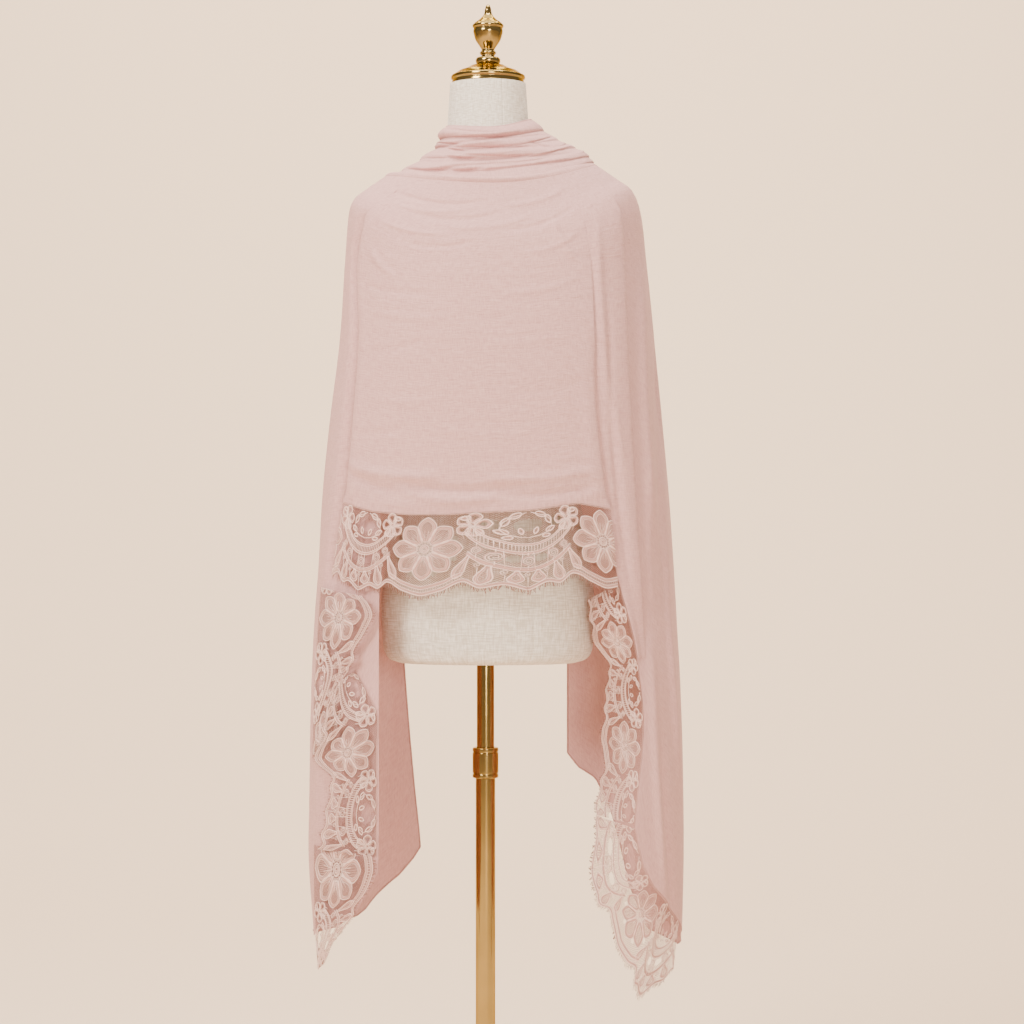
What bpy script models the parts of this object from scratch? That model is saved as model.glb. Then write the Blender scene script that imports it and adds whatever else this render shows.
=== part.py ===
"""A lace-edged hijab worn on a limbless linen dress form, on a telescopic brass stand.

Metres, +Z up, the front facing -Y. The origin is the middle of the base's underside,
on the pole's axis. The scarf is one woven rectangle with a lace border on one long
side. Its plain edge is wound round the neck as a cowl, its middle lies across the
front, and its two ends go over the shoulders and hang as tails that are open towards
the form. Every stretch of cloth lies on one ring-shaped surface, CAPE, which a table
of level sections describes, and starts or ends at an edge that the table also gives.
"""

import math
from collections import namedtuple

import bmesh
import bpy
from mathutils import Vector

# ---------------------------------------------------------------- driving dimensions
GAP = 0.0003  # between two pieces that touch
SEAM = 0.0005  # between cloth and lace
STITCH = 0.0012  # between the right drape's edge and the lace that turns in from it
TUCK = 0.0085  # how far behind its neighbour's edge each fold dives
EDGE_GAP = 0.0007  # across, between two stretches of cloth that run on
COWL_SEAM = 0.0009  # between the cowl's foot and the cape, whose facets differ
CLOTH = 0.0012  # wall of the woven cloth
LACE = 0.0012  # wall of the lace
MIDDLE = 0.0137  # the cape's middle, across: it hangs a little to its left of the pole
NECK_X = 0.0035  # the neck's axis, across

BASE_RADIUS = 0.160
BASE_TOP = 0.012  # floor of the socket that the lower tube stands in
SOCKET_TOP = 0.048
POLE_RADIUS = 0.0120
TUBE_RADIUS = 0.0135
BORE_RADIUS = POLE_RADIUS + 0.0004
TUBE_TOP = 0.590
COLLAR_FOOT = 0.569
COLLAR_TOP = 0.611
COLLAR_RADIUS = 0.0179
POLE_FOOT = 0.270  # how far down the pole reaches inside the tube
TORSO_FOOT = 0.7290
SOCKET_DEPTH = 0.060  # how far the pole reaches up inside the form
NECK_TOP = 1.526
CAP_TOP = 1.5525

LACE_DROP = 0.108  # width of the lace border, from seam to scalloped edge
REPEAT = 0.183  # from one flower of the lace to the next
SLICE = REPEAT / 4  # how far apart the lines are on which the lace bends

# ---------------------------------------------------------------- tables
# The form's level sections: half the width, then the reach to the front and back.
Form = namedtuple("Form", "height half front back square")
FORM = [
    Form(1.5260, 0.0524, 0.0500, 0.0500, 2.0),
    Form(1.4700, 0.0560, 0.0545, 0.0545, 2.0),
    Form(1.4480, 0.0580, 0.0570, 0.0560, 2.0),
    Form(1.4280, 0.0680, 0.0625, 0.0610, 2.0),
    Form(1.4080, 0.0920, 0.0690, 0.0680, 2.0),
    Form(1.3900, 0.1200, 0.0750, 0.0740, 2.1),
    Form(1.3720, 0.1480, 0.0820, 0.0810, 2.2),
    Form(1.3520, 0.1690, 0.0900, 0.0870, 2.3),
    Form(1.3200, 0.1780, 0.1030, 0.0920, 2.3),
    Form(1.2500, 0.1740, 0.1210, 0.0970, 2.3),
    Form(1.1600, 0.1600, 0.1300, 0.0980, 2.3),
    Form(1.0700, 0.1380, 0.1140, 0.0880, 2.3),
    Form(0.9850, 0.1250, 0.0980, 0.0820, 2.3),
    Form(0.9000, 0.1360, 0.0980, 0.0960, 2.3),
    Form(0.8200, 0.1465, 0.1030, 0.1060, 2.3),
    Form(0.7600, 0.1452, 0.1030, 0.1060, 2.3),
    Form(0.7430, 0.1425, 0.1010, 0.1040, 2.3),
    Form(0.7335, 0.1355, 0.0960, 0.0990, 2.3),
    Form(TORSO_FOOT, 0.1220, 0.0860, 0.0890, 2.3),
]

# The cowl's creases, from its top edge to its foot. Each has its reach and height at
# the left, front, right and back, and the swell of the roll of cloth under it.
Crease = namedtuple(
    "Crease", "left left_z front front_z right right_z back back_z swell"
)
COWL = [
    Crease(0.0574, 1.4660, 0.0572, 1.4585, 0.0600, 1.4760, 0.0558, 1.4740, 0.0085),
    Crease(0.0640, 1.4490, 0.0650, 1.4440, 0.0760, 1.4600, 0.0650, 1.4600, 0.0070),
    Crease(0.0720, 1.4360, 0.0730, 1.4290, 0.0960, 1.4470, 0.0740, 1.4460, 0.0080),
    Crease(0.0960, 1.4190, 0.0840, 1.4130, 0.1170, 1.4360, 0.0830, 1.4330, 0.0070),
    Crease(0.1250, 1.4050, 0.0950, 1.3940, 0.1320, 1.4240, 0.0920, 1.4190, 0.0015),
    Crease(0.1520, 1.3970, 0.1080, 1.3770, 0.1410, 1.4130, 0.0990, 1.4030, 0.0),
]

# The cape's level sections. left, right, front and back are its reach. right_up,
# front_up and back_up say how much higher than height the section lies there, because
# it slopes over the shoulders. The last columns are where edges cross the section:
# the front panel's two edges, the left drape's edge under the panel, the lower edge of
# the fold on the right, the fold's own edge, and the plain back edges of both drapes.
Section = namedtuple(
    "Section",
    "height left right front back right_up front_up back_up square"
    " panel_left panel_right under_left seam_right fold_right back_left back_right",
)
CAPE = [
    Section(1.3970, -0.1390, 0.1545, 0.1080, 0.0990, 0.0150, -0.0200, 0.0060, 2.0,
            -0.1000, 0.1020, -0.1000, 0.1020, 0.1280, 0.0030, 0.0210),
    Section(1.3790, -0.1650, 0.1820, 0.1220, 0.1050, 0.0140, -0.0360, 0.0060, 2.1,
            -0.1250, 0.1200, -0.1250, 0.1200, 0.1560, -0.0240, 0.0400),
    Section(1.3650, -0.1810, 0.2030, 0.1340, 0.1090, 0.0110, -0.0480, -0.0100, 2.2,
            -0.1480, 0.1300, -0.1480, 0.1300, 0.1750, -0.0500, 0.0560),
    Section(1.3400, -0.1885, 0.2150, 0.1420, 0.1120, 0.0, -0.0480, -0.0200, 2.3,
            -0.1640, 0.1370, -0.1640, 0.1370, 0.1870, -0.0680, 0.0740),
    Section(1.2700, -0.1920, 0.2210, 0.1490, 0.1150, 0.0, -0.0250, -0.0100, 2.4,
            -0.1745, 0.1430, -0.1720, 0.1400, 0.1925, -0.0880, 0.0940),
    Section(1.1700, -0.1980, 0.2300, 0.1540, 0.1180, 0.0, 0.0, 0.0, 2.5,
            -0.1720, 0.1463, -0.1600, 0.1340, 0.1958, -0.1040, 0.1080),
    Section(1.0600, -0.2115, 0.2410, 0.1540, 0.1220, 0.0, 0.0, 0.0, 2.5,
            -0.1800, 0.1535, -0.1510, 0.1410, 0.2013, -0.1120, 0.1140),
    Section(0.9500, -0.2225, 0.2510, 0.1530, 0.1270, 0.0, 0.0, 0.0, 2.5,
            -0.1905, 0.1668, -0.1465, 0.1600, 0.2073, -0.1160, 0.1160),
    Section(0.8500, -0.2295, 0.2580, 0.1510, 0.1310, 0.0, 0.0, 0.0, 2.5,
            -0.2060, 0.1770, -0.1453, 0.1793, 0.2128, -0.1180, 0.1160),
    Section(0.7500, -0.2345, 0.2650, 0.1470, 0.1330, 0.0, 0.0, 0.0, 2.5,
            -0.2100, 0.1800, -0.1453, 0.2047, 0.2195, -0.1180, 0.1160),
    Section(0.6500, -0.2380, 0.2700, 0.1430, 0.1330, 0.0, 0.0, 0.0, 2.5,
            -0.2100, 0.1800, -0.1453, 0.2154, 0.2250, -0.1120, 0.1160),
    Section(0.5500, -0.2395, 0.2725, 0.1380, 0.1310, 0.0, 0.0, 0.0, 2.5,
            -0.2100, 0.1800, -0.1453, 0.2068, 0.2250, -0.1035, 0.1160),
    Section(0.4500, -0.2410, 0.2730, 0.1310, 0.1270, 0.0, 0.0, 0.0, 2.5,
            -0.2100, 0.1800, -0.1460, 0.1980, 0.2250, -0.0940, 0.1160),
    Section(0.3500, -0.2360, 0.2705, 0.1230, 0.1200, 0.0, 0.0, 0.0, 2.5,
            -0.2100, 0.1800, -0.1460, 0.1980, 0.2250, -0.0940, 0.1160),
    Section(0.2500, -0.2330, 0.2670, 0.1180, 0.1150, 0.0, 0.0, 0.0, 2.5,
            -0.2100, 0.1800, -0.1460, 0.1980, 0.2250, -0.0940, 0.1160),
]

# The soft folds that run down the sides and the back. Each has the turn that it lies at,
# half its spread in degrees, and its height. A trough between two folds is below 0.
Fold = namedtuple("Fold", "turn spread height")
FOLDS = [
    Fold(-146, 13, 0.0090), Fold(-125, 12, -0.0060), Fold(-104, 13, 0.0080),
    Fold(107, 13, 0.0090), Fold(129, 13, -0.0070), Fold(150, 13, 0.0100),
]

# The height of each hem, by the share of the way along it from the wearer's right.
Hem = namedtuple("Hem", "share height")
PANEL_HEM = [
    Hem(0.00, 0.9500), Hem(0.10, 0.9430), Hem(0.20, 0.9370), Hem(0.35, 0.9330),
    Hem(0.50, 0.9330), Hem(0.70, 0.9390), Hem(0.86, 0.9480), Hem(1.00, 0.9400),
]
LEFT_HEM = [
    Hem(0.00, 0.4580), Hem(0.02, 0.4430), Hem(0.06, 0.4195), Hem(0.10, 0.4040),
    Hem(0.14, 0.3890), Hem(0.18, 0.3730), Hem(0.22, 0.3660), Hem(0.40, 0.3560),
    Hem(0.56, 0.3520), Hem(0.83, 0.3750), Hem(0.92, 0.4000), Hem(1.00, 0.4520),
]
RIGHT_HEM = [
    Hem(0.00, 0.5140), Hem(0.05, 0.4590), Hem(0.10, 0.4310), Hem(0.17, 0.4100),
    Hem(0.29, 0.3770), Hem(0.40, 0.3580), Hem(0.55, 0.3320), Hem(0.70, 0.3500),
    Hem(0.80, 0.4100), Hem(0.87, 0.5100), Hem(0.92, 0.5560), Hem(0.97, 0.5720),
    Hem(1.00, 0.5920),
]
FOLD_FOOT = 0.7400  # where the fold on the right runs out to a point
SHARED_ROW = 4  # the cape's row down to which all stretches have the same rows
ROW_STEP = 0.5
PANEL_COLUMNS = 14
PANEL_ROWS = 14
DRAPE_COLUMNS = 18
DRAPE_ROWS = 19


# ---------------------------------------------------------------- small tools
def signed_power(value, power):
    return math.copysign(abs(value) ** power, value)


def between(table, column, at):
    """A column of a table at a fractional row, on a smooth curve through its rows."""
    last = len(table) - 1
    at = min(max(at, 0.0), last)
    row = min(int(at), last - 1)
    part = at - row
    ends = [getattr(table[k], column) for k in (row, row + 1)]
    before = getattr(table[max(row - 1, 0)], column)
    after = getattr(table[min(row + 2, last)], column)
    start, finish = (ends[1] - before) / 2, (after - ends[0]) / 2
    square, cube = part * part, part**3
    return (
        (2 * cube - 3 * square + 1) * ends[0]
        + (cube - 2 * square + part) * start
        + (3 * square - 2 * cube) * ends[1]
        + (cube - square) * finish
    )


def straight(rows, at):
    """The second column of a short table by its first, on straight runs."""
    for low, high in zip(rows, rows[1:]):
        if at <= high[0]:
            return low[1] + (high[1] - low[1]) * (at - low[0]) / (high[0] - low[0])
    return rows[-1][1]


def ease(value):
    """0 to 1 with no corner at either end."""
    value = min(max(value, 0.0), 1.0)
    return value * value * (3 - 2 * value)


def fold_height(row, turn):
    """How far the folds stand out: they start below the shoulder and deepen downwards."""
    found = 0.0
    for fold in FOLDS:
        offset = (turn - fold.turn) / fold.spread
        found += fold.height * max(0.0, 1 - offset * offset) ** 2
    return found * ease((row - 2.0) / 6.0)


def cape(row, turn, out=0.0):
    """A point of the cape. turn is in degrees from the front, positive to the right."""
    side, ahead = math.sin(math.radians(turn)), math.cos(math.radians(turn))
    edge = "right" if side > 0 else "left"
    half = abs(between(CAPE, edge, row) - MIDDLE)
    reach = between(CAPE, "front" if ahead > 0 else "back", row)
    square = between(CAPE, "square", row)
    x = signed_power(side, 2 / square)
    y = -signed_power(ahead, 2 / square)
    level_up = between(CAPE, "right_up", row) if side > 0 else 0.0
    ahead_up = between(CAPE, "front_up" if ahead > 0 else "back_up", row)
    z = between(CAPE, "height", row) + level_up * side**2 + ahead_up * ahead**2
    slope = Vector(
        (
            signed_power(x, square - 1) / half,
            signed_power(y, square - 1) / reach,
            0.0,
        )
    ).normalized()
    out += fold_height(row, turn)
    return Vector((MIDDLE + half * x, reach * y, z)) + slope * out


def turn_at(row, x, behind=False):
    """The turn at which the cape's section passes x, at the front or behind."""
    edge = "right" if x > MIDDLE else "left"
    half = abs(between(CAPE, edge, row) - MIDDLE)
    share = min(abs(x - MIDDLE) / half, 1.0) ** (between(CAPE, "square", row) / 2)
    turn = math.degrees(math.asin(share))
    return math.copysign(180 - turn if behind else turn, x - MIDDLE)


def row_at(height, turn):
    """The fractional row of the cape that has this height at this turn."""
    low, high = 0.0, len(CAPE) - 1.0
    for _ in range(24):
        middle = (low + high) / 2
        if cape(middle, turn).z > height:
            low = middle
        else:
            high = middle
    return (low + high) / 2


def on_front(x, height, out):
    """The point of the cape's front at x and this height, moved out from it."""
    row = row_at(height, turn_at(8.0, x))
    row = row_at(height, turn_at(row, x))
    return cape(row, turn_at(row, x), out)


# ---------------------------------------------------------------- materials
def finish(name, colour, roughness, metallic=0.0):
    material = bpy.data.materials.new(name)
    material.use_nodes = True
    shader = material.node_tree.nodes["Principled BSDF"]
    shader.inputs["Base Color"].default_value = (*colour, 1.0)
    shader.inputs["Roughness"].default_value = roughness
    shader.inputs["Metallic"].default_value = metallic
    return material


# ---------------------------------------------------------------- objects
def add(name, mesh, material, collection):
    shape = bpy.data.objects.new(name, mesh)
    shape.data.materials.append(material)
    collection.objects.link(shape)
    return shape


def turned(name, profile, x, segments, material, collection):
    """A turned piece: a profile of (radius, height), from the top down its outer side."""
    mesh = bpy.data.meshes.new(name)
    last = len(profile) - 1
    mesh.from_pydata(
        [(radius, 0.0, height) for radius, height in profile],
        [(k, k + 1) for k in range(last)],
        [],
    )
    shape = add(name, mesh, material, collection)
    shape.location.x = x
    screw = shape.modifiers.new("Screw", "SCREW")
    screw.steps = screw.render_steps = segments
    screw.use_merge_vertices = True
    screw.merge_threshold = 0.0001
    screw.use_normal_calculate = False
    return shape


def grid(name, point, columns, rows, thickness, material, collection, closed=False):
    """A wall on a grid of points. point takes the shares across and down."""
    mesh = bpy.data.meshes.new(name)
    count = columns if closed else columns + 1
    points = [
        point(column / columns, row / rows)
        for row in range(rows + 1)
        for column in range(count)
    ]
    faces = [
        (
            row * count + column,
            (row + 1) * count + column,
            (row + 1) * count + (column + 1) % count,
            row * count + (column + 1) % count,
        )
        for row in range(rows)
        for column in range(columns)
    ]
    mesh.from_pydata(points, [], faces)
    mesh.shade_smooth()
    shape = add(name, mesh, material, collection)
    wall = shape.modifiers.new("Solidify", "SOLIDIFY")
    wall.thickness = thickness
    wall.offset = 0.0
    return shape


# ---------------------------------------------------------------- the stand
def stand(brass, collection):
    socket = TUBE_RADIUS + GAP
    base = [
        (0.0, BASE_TOP),
        (socket, BASE_TOP),
        (socket, SOCKET_TOP),
        (0.0210, SOCKET_TOP),
        (0.0235, 0.0455),
        (0.0250, 0.0240),
        (0.0340, 0.0180),
        (0.1100, 0.0135),
        (0.1500, 0.0100),
        (0.1580, 0.0070),
        (BASE_RADIUS, 0.0035),
        (BASE_RADIUS, 0.0),
        (0.0, 0.0),
    ]
    turned("base_plate", base, 0.0, 36, brass, collection)
    tube_foot = BASE_TOP + GAP
    tube = [
        (BORE_RADIUS, tube_foot),
        (BORE_RADIUS, TUBE_TOP),
        (TUBE_RADIUS, TUBE_TOP),
        (TUBE_RADIUS, tube_foot),
        (BORE_RADIUS, tube_foot),
    ]
    turned("lower_tube", tube, 0.0, 24, brass, collection)
    ledge = TUBE_TOP + GAP
    rounding = 0.0022
    collar = [
        (socket, COLLAR_FOOT),
        (socket, ledge),
        (BORE_RADIUS, ledge),
        (BORE_RADIUS, COLLAR_TOP),
        (COLLAR_RADIUS - rounding, COLLAR_TOP),
        (COLLAR_RADIUS, COLLAR_TOP - rounding),
        (COLLAR_RADIUS, COLLAR_FOOT + rounding),
        (COLLAR_RADIUS - rounding, COLLAR_FOOT),
        (socket, COLLAR_FOOT),
    ]
    turned("clamp_collar", collar, 0.0, 24, brass, collection)
    pole_top = TORSO_FOOT + SOCKET_DEPTH - GAP
    pole = [
        (0.0, pole_top),
        (POLE_RADIUS, pole_top),
        (POLE_RADIUS, POLE_FOOT),
        (0.0, POLE_FOOT),
    ]
    turned("upper_pole", pole, 0.0, 24, brass, collection)


# ---------------------------------------------------------------- the form
def form_point(height, turn, out=0.0):
    """A point of the form's surface, moved out from it in the level plane."""
    for low, high in zip(FORM[1:], FORM):
        if height >= low.height:
            break
    part = (height - low.height) / (high.height - low.height)
    half, front, back, square = (
        getattr(low, column) + part * (getattr(high, column) - getattr(low, column))
        for column in ("half", "front", "back", "square")
    )
    side, ahead = math.sin(math.radians(turn)), math.cos(math.radians(turn))
    reach = front if ahead > 0 else back
    x = NECK_X + (half + out) * signed_power(side, 2 / square)
    y = -(reach + out) * signed_power(ahead, 2 / square)
    return Vector((x, y, height))


def torso(linen, collection, cutters):
    around = 30
    mesh = bpy.data.meshes.new("torso")
    points = [
        form_point(section.height, 360 * k / around)
        for section in FORM
        for k in range(around)
    ]
    faces = [
        (
            row * around + k,
            (row + 1) * around + k,
            (row + 1) * around + (k + 1) % around,
            row * around + (k + 1) % around,
        )
        for row in range(len(FORM) - 1)
        for k in range(around)
    ]
    last = (len(FORM) - 1) * around
    faces.append(tuple(range(around)))
    faces.append(tuple(reversed(range(last, last + around))))
    mesh.from_pydata(points, [], faces)
    mesh.shade_smooth()
    shape = add("torso", mesh, linen, collection)
    top, below = TORSO_FOOT + SOCKET_DEPTH, TORSO_FOOT - 0.020
    drill = [(0.0, top), (BORE_RADIUS, top), (BORE_RADIUS, below), (0.0, below)]
    cutter = turned("pole_socket_cutter", drill, 0.0, 24, linen, cutters)
    cutter.hide_render = True
    cutter.display_type = "WIRE"
    socket = shape.modifiers.new("Socket", "BOOLEAN")
    socket.object = cutter
    socket.solver = "EXACT"
    return shape


def fittings(brass, collection):
    """The cap on the neck and the finial on the cap."""
    cap_foot = NECK_TOP + GAP
    cap = [
        (0.0, CAP_TOP),
        (0.0180, CAP_TOP),
        (0.0270, 1.5492),
        (0.0370, 1.5455),
        (0.0440, 1.5410),
        (0.0490, 1.5372),
        (0.0511, 1.5340),
        (0.0511, 1.5295),
        (0.0498, cap_foot),
        (0.0, cap_foot),
    ]
    turned("neck_cap", cap, NECK_X, 28, brass, collection)
    finial_foot = CAP_TOP + GAP
    finial = [
        (0.0, 1.6360),
        (0.0026, 1.6345),
        (0.0044, 1.6280),
        (0.0068, 1.6205),
        (0.0130, 1.6140),
        (0.0196, 1.6092),
        (0.0213, 1.6055),
        (0.0196, 1.6020),
        (0.0196, 1.5960),
        (0.0170, 1.5860),
        (0.0112, 1.5775),
        (0.0087, 1.5735),
        (0.0112, 1.5705),
        (0.0112, 1.5675),
        (0.0085, 1.5645),
        (0.0155, 1.5622),
        (0.0170, 1.5595),
        (0.0170, 1.5560),
        (0.0150, finial_foot),
        (0.0, finial_foot),
    ]
    turned("finial", finial, NECK_X, 18, brass, collection)


# ---------------------------------------------------------------- the cloth
def row_down(down, foot, rows):
    """The cape's row of one row of a stretch. Down to SHARED_ROW all stretches have the
    same rows, so that their edges match there."""
    shared = round(SHARED_ROW / ROW_STEP)
    step = down * rows
    if step <= shared:
        return step * ROW_STEP
    return SHARED_ROW + (foot - SHARED_ROW) * (step - shared) / (rows - shared)


def cowl_point(turn, down):
    """A point of the cowl: down runs from 0 at its top edge to 1 at its foot."""
    rolls = len(COWL) - 1
    at = down * rolls
    side, ahead = math.sin(math.radians(turn)), math.cos(math.radians(turn))
    flank = "right" if side > 0 else "left"
    facing = "front" if ahead > 0 else "back"
    half, reach = between(COWL, flank, at), between(COWL, facing, at)
    z = between(COWL, flank + "_z", at) * side**2
    z += between(COWL, facing + "_z", at) * ahead**2
    swell = COWL[min(int(at), rolls - 1)].swell * math.sin(math.pi * (at % 1.0))
    swell *= 0.75 + 0.25 * math.cos(math.radians(turn + 60 + 40 * int(at)))
    if down > 0.9:
        edge = cape(0.0, turn)
        uphill = (edge - cape(0.3, turn)).normalized()
        return edge + uphill * (COWL_SEAM + (1 - down) * 0.09)
    centre = NECK_X + (MIDDLE - NECK_X) * down**2
    return Vector((centre + (half + swell) * side, -(reach + swell) * ahead, z))


def panel_point(across, down):
    def place(row):
        left = turn_at(row, between(CAPE, "panel_left", row))
        right = turn_at(row, between(CAPE, "panel_right", row))
        return left + (right - left) * across

    foot = row_at(straight(PANEL_HEM, across), place(7.2))
    row = row_down(down, foot, PANEL_ROWS)
    return cape(row, place(row))


def fold_point(across, down):
    row = row_down(down, row_at(FOLD_FOOT, 45.0), PANEL_ROWS)
    left = turn_at(row, between(CAPE, "seam_right", row) + EDGE_GAP)
    right = turn_at(row, between(CAPE, "fold_right", row))
    deep = TUCK - 0.0060 * ease((row - 7.4) / 1.2)
    tuck = deep * ease((row - 1.5) / 2.5) * (1 - ease(across / 0.6))
    return cape(row, left + (right - left) * across, -tuck)


def right_drape_point(across, down):
    def place(row):
        front = between(CAPE, "fold_right", row) + EDGE_GAP
        front -= 0.012 * ease((row - 3.0) / 1.5)
        seam = between(CAPE, "seam_right", row)
        front += (seam - front) * ease((row - 8.6) / 1.0)
        start = turn_at(row, front)
        back = turn_at(row, between(CAPE, "back_right", row), behind=True)
        return start + (back - start) * across

    foot = row_at(straight(RIGHT_HEM, across), place(11.0))
    row = row_down(down, foot, DRAPE_ROWS)
    tuck = TUCK * ease((row - 1.5) / 2.5) * (1 - ease(across / 0.3))
    return cape(row, place(row), -tuck)


def left_drape_point(across, down):
    def place(row):
        back = turn_at(row, between(CAPE, "back_left", row), behind=True)
        front = turn_at(row, between(CAPE, "under_left", row) - EDGE_GAP)
        return back + (front - back) * across

    foot = row_at(straight(LEFT_HEM, across), place(12.0))
    row = row_down(down, foot, DRAPE_ROWS)
    tuck = 1.3 * TUCK * ease((row - 1.5) / 2.5) * ease((across - 0.65) / 0.3)
    return cape(row, place(row), -tuck)


def build_cloth(cloth, collection):
    def cowl(across, down):
        return cowl_point(-180 + 360 * across, down)

    grid("cowl", cowl, 32, 15, CLOTH, cloth, collection, closed=True)
    grid("front_panel", panel_point, PANEL_COLUMNS, PANEL_ROWS, CLOTH, cloth, collection)
    grid("right_fold", fold_point, 5, PANEL_ROWS, CLOTH, cloth, collection)
    for name, point in (("right_drape", right_drape_point), ("left_drape", left_drape_point)):
        grid(name, point, DRAPE_COLUMNS, DRAPE_ROWS, CLOTH, cloth, collection)


# ---------------------------------------------------------------- the lace
# Half a repeat of the scalloped edge, from under a flower: how far along it, and the
# lace's width there as a share of its whole width.
Scallop = namedtuple("Scallop", "along share")
SCALLOPS = [
    Scallop(0.0000, 1.00), Scallop(0.0240, 0.93), Scallop(0.0440, 0.84),
    Scallop(0.0580, 0.93), Scallop(0.0720, 0.90), Scallop(REPEAT / 2, 0.98),
]
# Gaps in one repeat: the middle, along from the flower and down from the seam, the
# length, the width, and the turn of the length from level, in degrees.
Opening = namedtuple("Opening", "along down length width turn")
FLOWER_DOWN = 0.046
SWAG = REPEAT / 2
OPENINGS = [
    Opening(SWAG, 0.0200, 0.0300, 0.0160, 0),
    Opening(SWAG - 0.0300, 0.0170, 0.0180, 0.0120, 35),
    Opening(SWAG + 0.0300, 0.0170, 0.0180, 0.0120, -35),
    Opening(SWAG - 0.0130, 0.0640, 0.0140, 0.0090, 12),
    Opening(SWAG + 0.0130, 0.0640, 0.0140, 0.0090, -12),
] + [
    Opening(
        0.0325 * math.sin(math.radians(turn)),
        FLOWER_DOWN + 0.0325 * math.cos(math.radians(turn)),
        0.0130,
        0.0090,
        90 - turn,
    )
    for turn in (-22.5, 22.5, -67.5, 67.5, -112.5, 112.5)
]

# The stretches down the tails. along is the way along the seam from the stretch's top.
# The right tail's seam is the drape's own edge, and its free edge hangs inwards.
Hanging = namedtuple("Hanging", "along seam_z free_x free_y free_z")
RIGHT_UPPER = [
    Hanging(0.0000, 0.8400, 0.1392, -0.0750, 0.8169),
    Hanging(0.0500, 0.7970, 0.1392, -0.0650, 0.7776),
    Hanging(0.0950, 0.7600, 0.1500, -0.0450, 0.7560),
    Hanging(0.1400, 0.7286, 0.1659, -0.0200, 0.7230),
    Hanging(0.1900, 0.6900, 0.1645, 0.0000, 0.6865),
    Hanging(0.2400, 0.6466, 0.1577, 0.0000, 0.6458),
    Hanging(0.2900, 0.6030, 0.1617, 0.0000, 0.6087),
    Hanging(0.3400, 0.5575, 0.1549, 0.0000, 0.5613),
    Hanging(0.3850, 0.5220, 0.1495, -0.0050, 0.5230),
]
Corner = namedtuple("Corner", "along share free_x free_y free_z")
RIGHT_LOWER = [
    Corner(0.0000, 0.002, 0.1490, -0.0080, 0.5195),
    Corner(0.0550, 0.050, 0.1450, -0.0300, 0.4145),
    Corner(0.1100, 0.100, 0.1720, -0.0500, 0.3685),
    Corner(0.1700, 0.170, 0.1950, -0.0600, 0.3030),
    Corner(0.2200, 0.230, 0.2090, -0.0550, 0.2760),
    Corner(0.2750, 0.290, 0.2560, -0.0350, 0.3000),
]
# The left tail's stretches lie on its front. A stretch's seam and free edge are given.
Laid = namedtuple("Laid", "along seam_x seam_z free_x free_z")
LEFT_UPPER = [
    Laid(0.0000, -0.2215, 0.8340, -0.1500, 0.8220),
    Laid(0.0500, -0.2255, 0.7860, -0.1485, 0.7939),
    Laid(0.1000, -0.2285, 0.7360, -0.1672, 0.7410),
    Laid(0.1500, -0.2310, 0.6860, -0.1834, 0.7150),
    Laid(0.2000, -0.2325, 0.6400, -0.1915, 0.6754),
    Laid(0.2400, -0.2335, 0.6000, -0.1956, 0.6348),
]
LEFT_MIDDLE = [
    Laid(0.0000, -0.1780, 0.7240, -0.2000, 0.6900),
    Laid(0.0730, -0.1475, 0.6670, -0.2190, 0.6300),
    Laid(0.1200, -0.1475, 0.6200, -0.2215, 0.6000),
    Laid(0.1650, -0.1475, 0.5770, -0.2060, 0.5750),
    Laid(0.2150, -0.1475, 0.5250, -0.2100, 0.5280),
    Laid(0.2700, -0.1480, 0.4740, -0.2265, 0.4810),
]
LEFT_LOWER = [
    Laid(0.0000, -0.2320, 0.4790, -0.1455, 0.4710),
    Laid(0.0400, -0.2325, 0.4200, -0.1530, 0.4300),
    Laid(0.0800, -0.2310, 0.3800, -0.1713, 0.3930),
    Laid(0.1200, -0.2290, 0.3450, -0.1975, 0.3600),
    Laid(0.1600, -0.2260, 0.3120, -0.2130, 0.3250),
]


def laid_point(rows, along, share, seam_out, free_out):
    """A point of a lace stretch that lies on the cape's front. It is seam_out in front of
    the cape at its seam, and free_out from a little way in to its free edge."""
    seam_x, seam_z, free_x, free_z = (
        straight([(row.along, getattr(row, column)) for row in rows], along)
        for column in ("seam_x", "seam_z", "free_x", "free_z")
    )
    x, z = seam_x + (free_x - seam_x) * share, seam_z + (free_z - seam_z) * share
    return on_front(x, z, seam_out + (free_out - seam_out) * ease(share / 0.4))


def free_point(rows, along, share, seam):
    """A point of a lace stretch that hangs from a seam to a free edge in the air."""
    free = [
        straight([(row.along, getattr(row, column)) for row in rows], along)
        for column in ("free_x", "free_y", "free_z")
    ]
    return seam.lerp(Vector(free), share)


def flat_spline(curve, points):
    spline = curve.splines.new("POLY")
    spline.points.add(len(points) - 1)
    for point, (x, y) in zip(spline.points, points):
        point.co = (x, y, 0.0, 1.0)
    spline.use_cyclic_u = True


def lace_outline(length, flower, stitches):
    """The stretch laid flat: its seam along y = 0, its scallops below. stitches are the
    ways along at which the seam follows a corner of the cloth's edge."""
    edge = []
    for number in range(-2, 4):
        for side in (-1, 1):
            for scallop in SCALLOPS[side < 0 :][::side]:
                at = flower + number * REPEAT + side * scallop.along
                if 0.004 < at < length - 0.004:
                    edge.append((at, -LACE_DROP * scallop.share))
    edge = sorted(set(edge))
    start, finish = edge[0][1], edge[-1][1]
    seam = [(at, 0.0) for at in reversed(stitches) if 0.001 < at < length - 0.001]
    return [(0.0, 0.0), (0.0, start), *edge, (length, finish), (length, 0.0), *seam]


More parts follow.
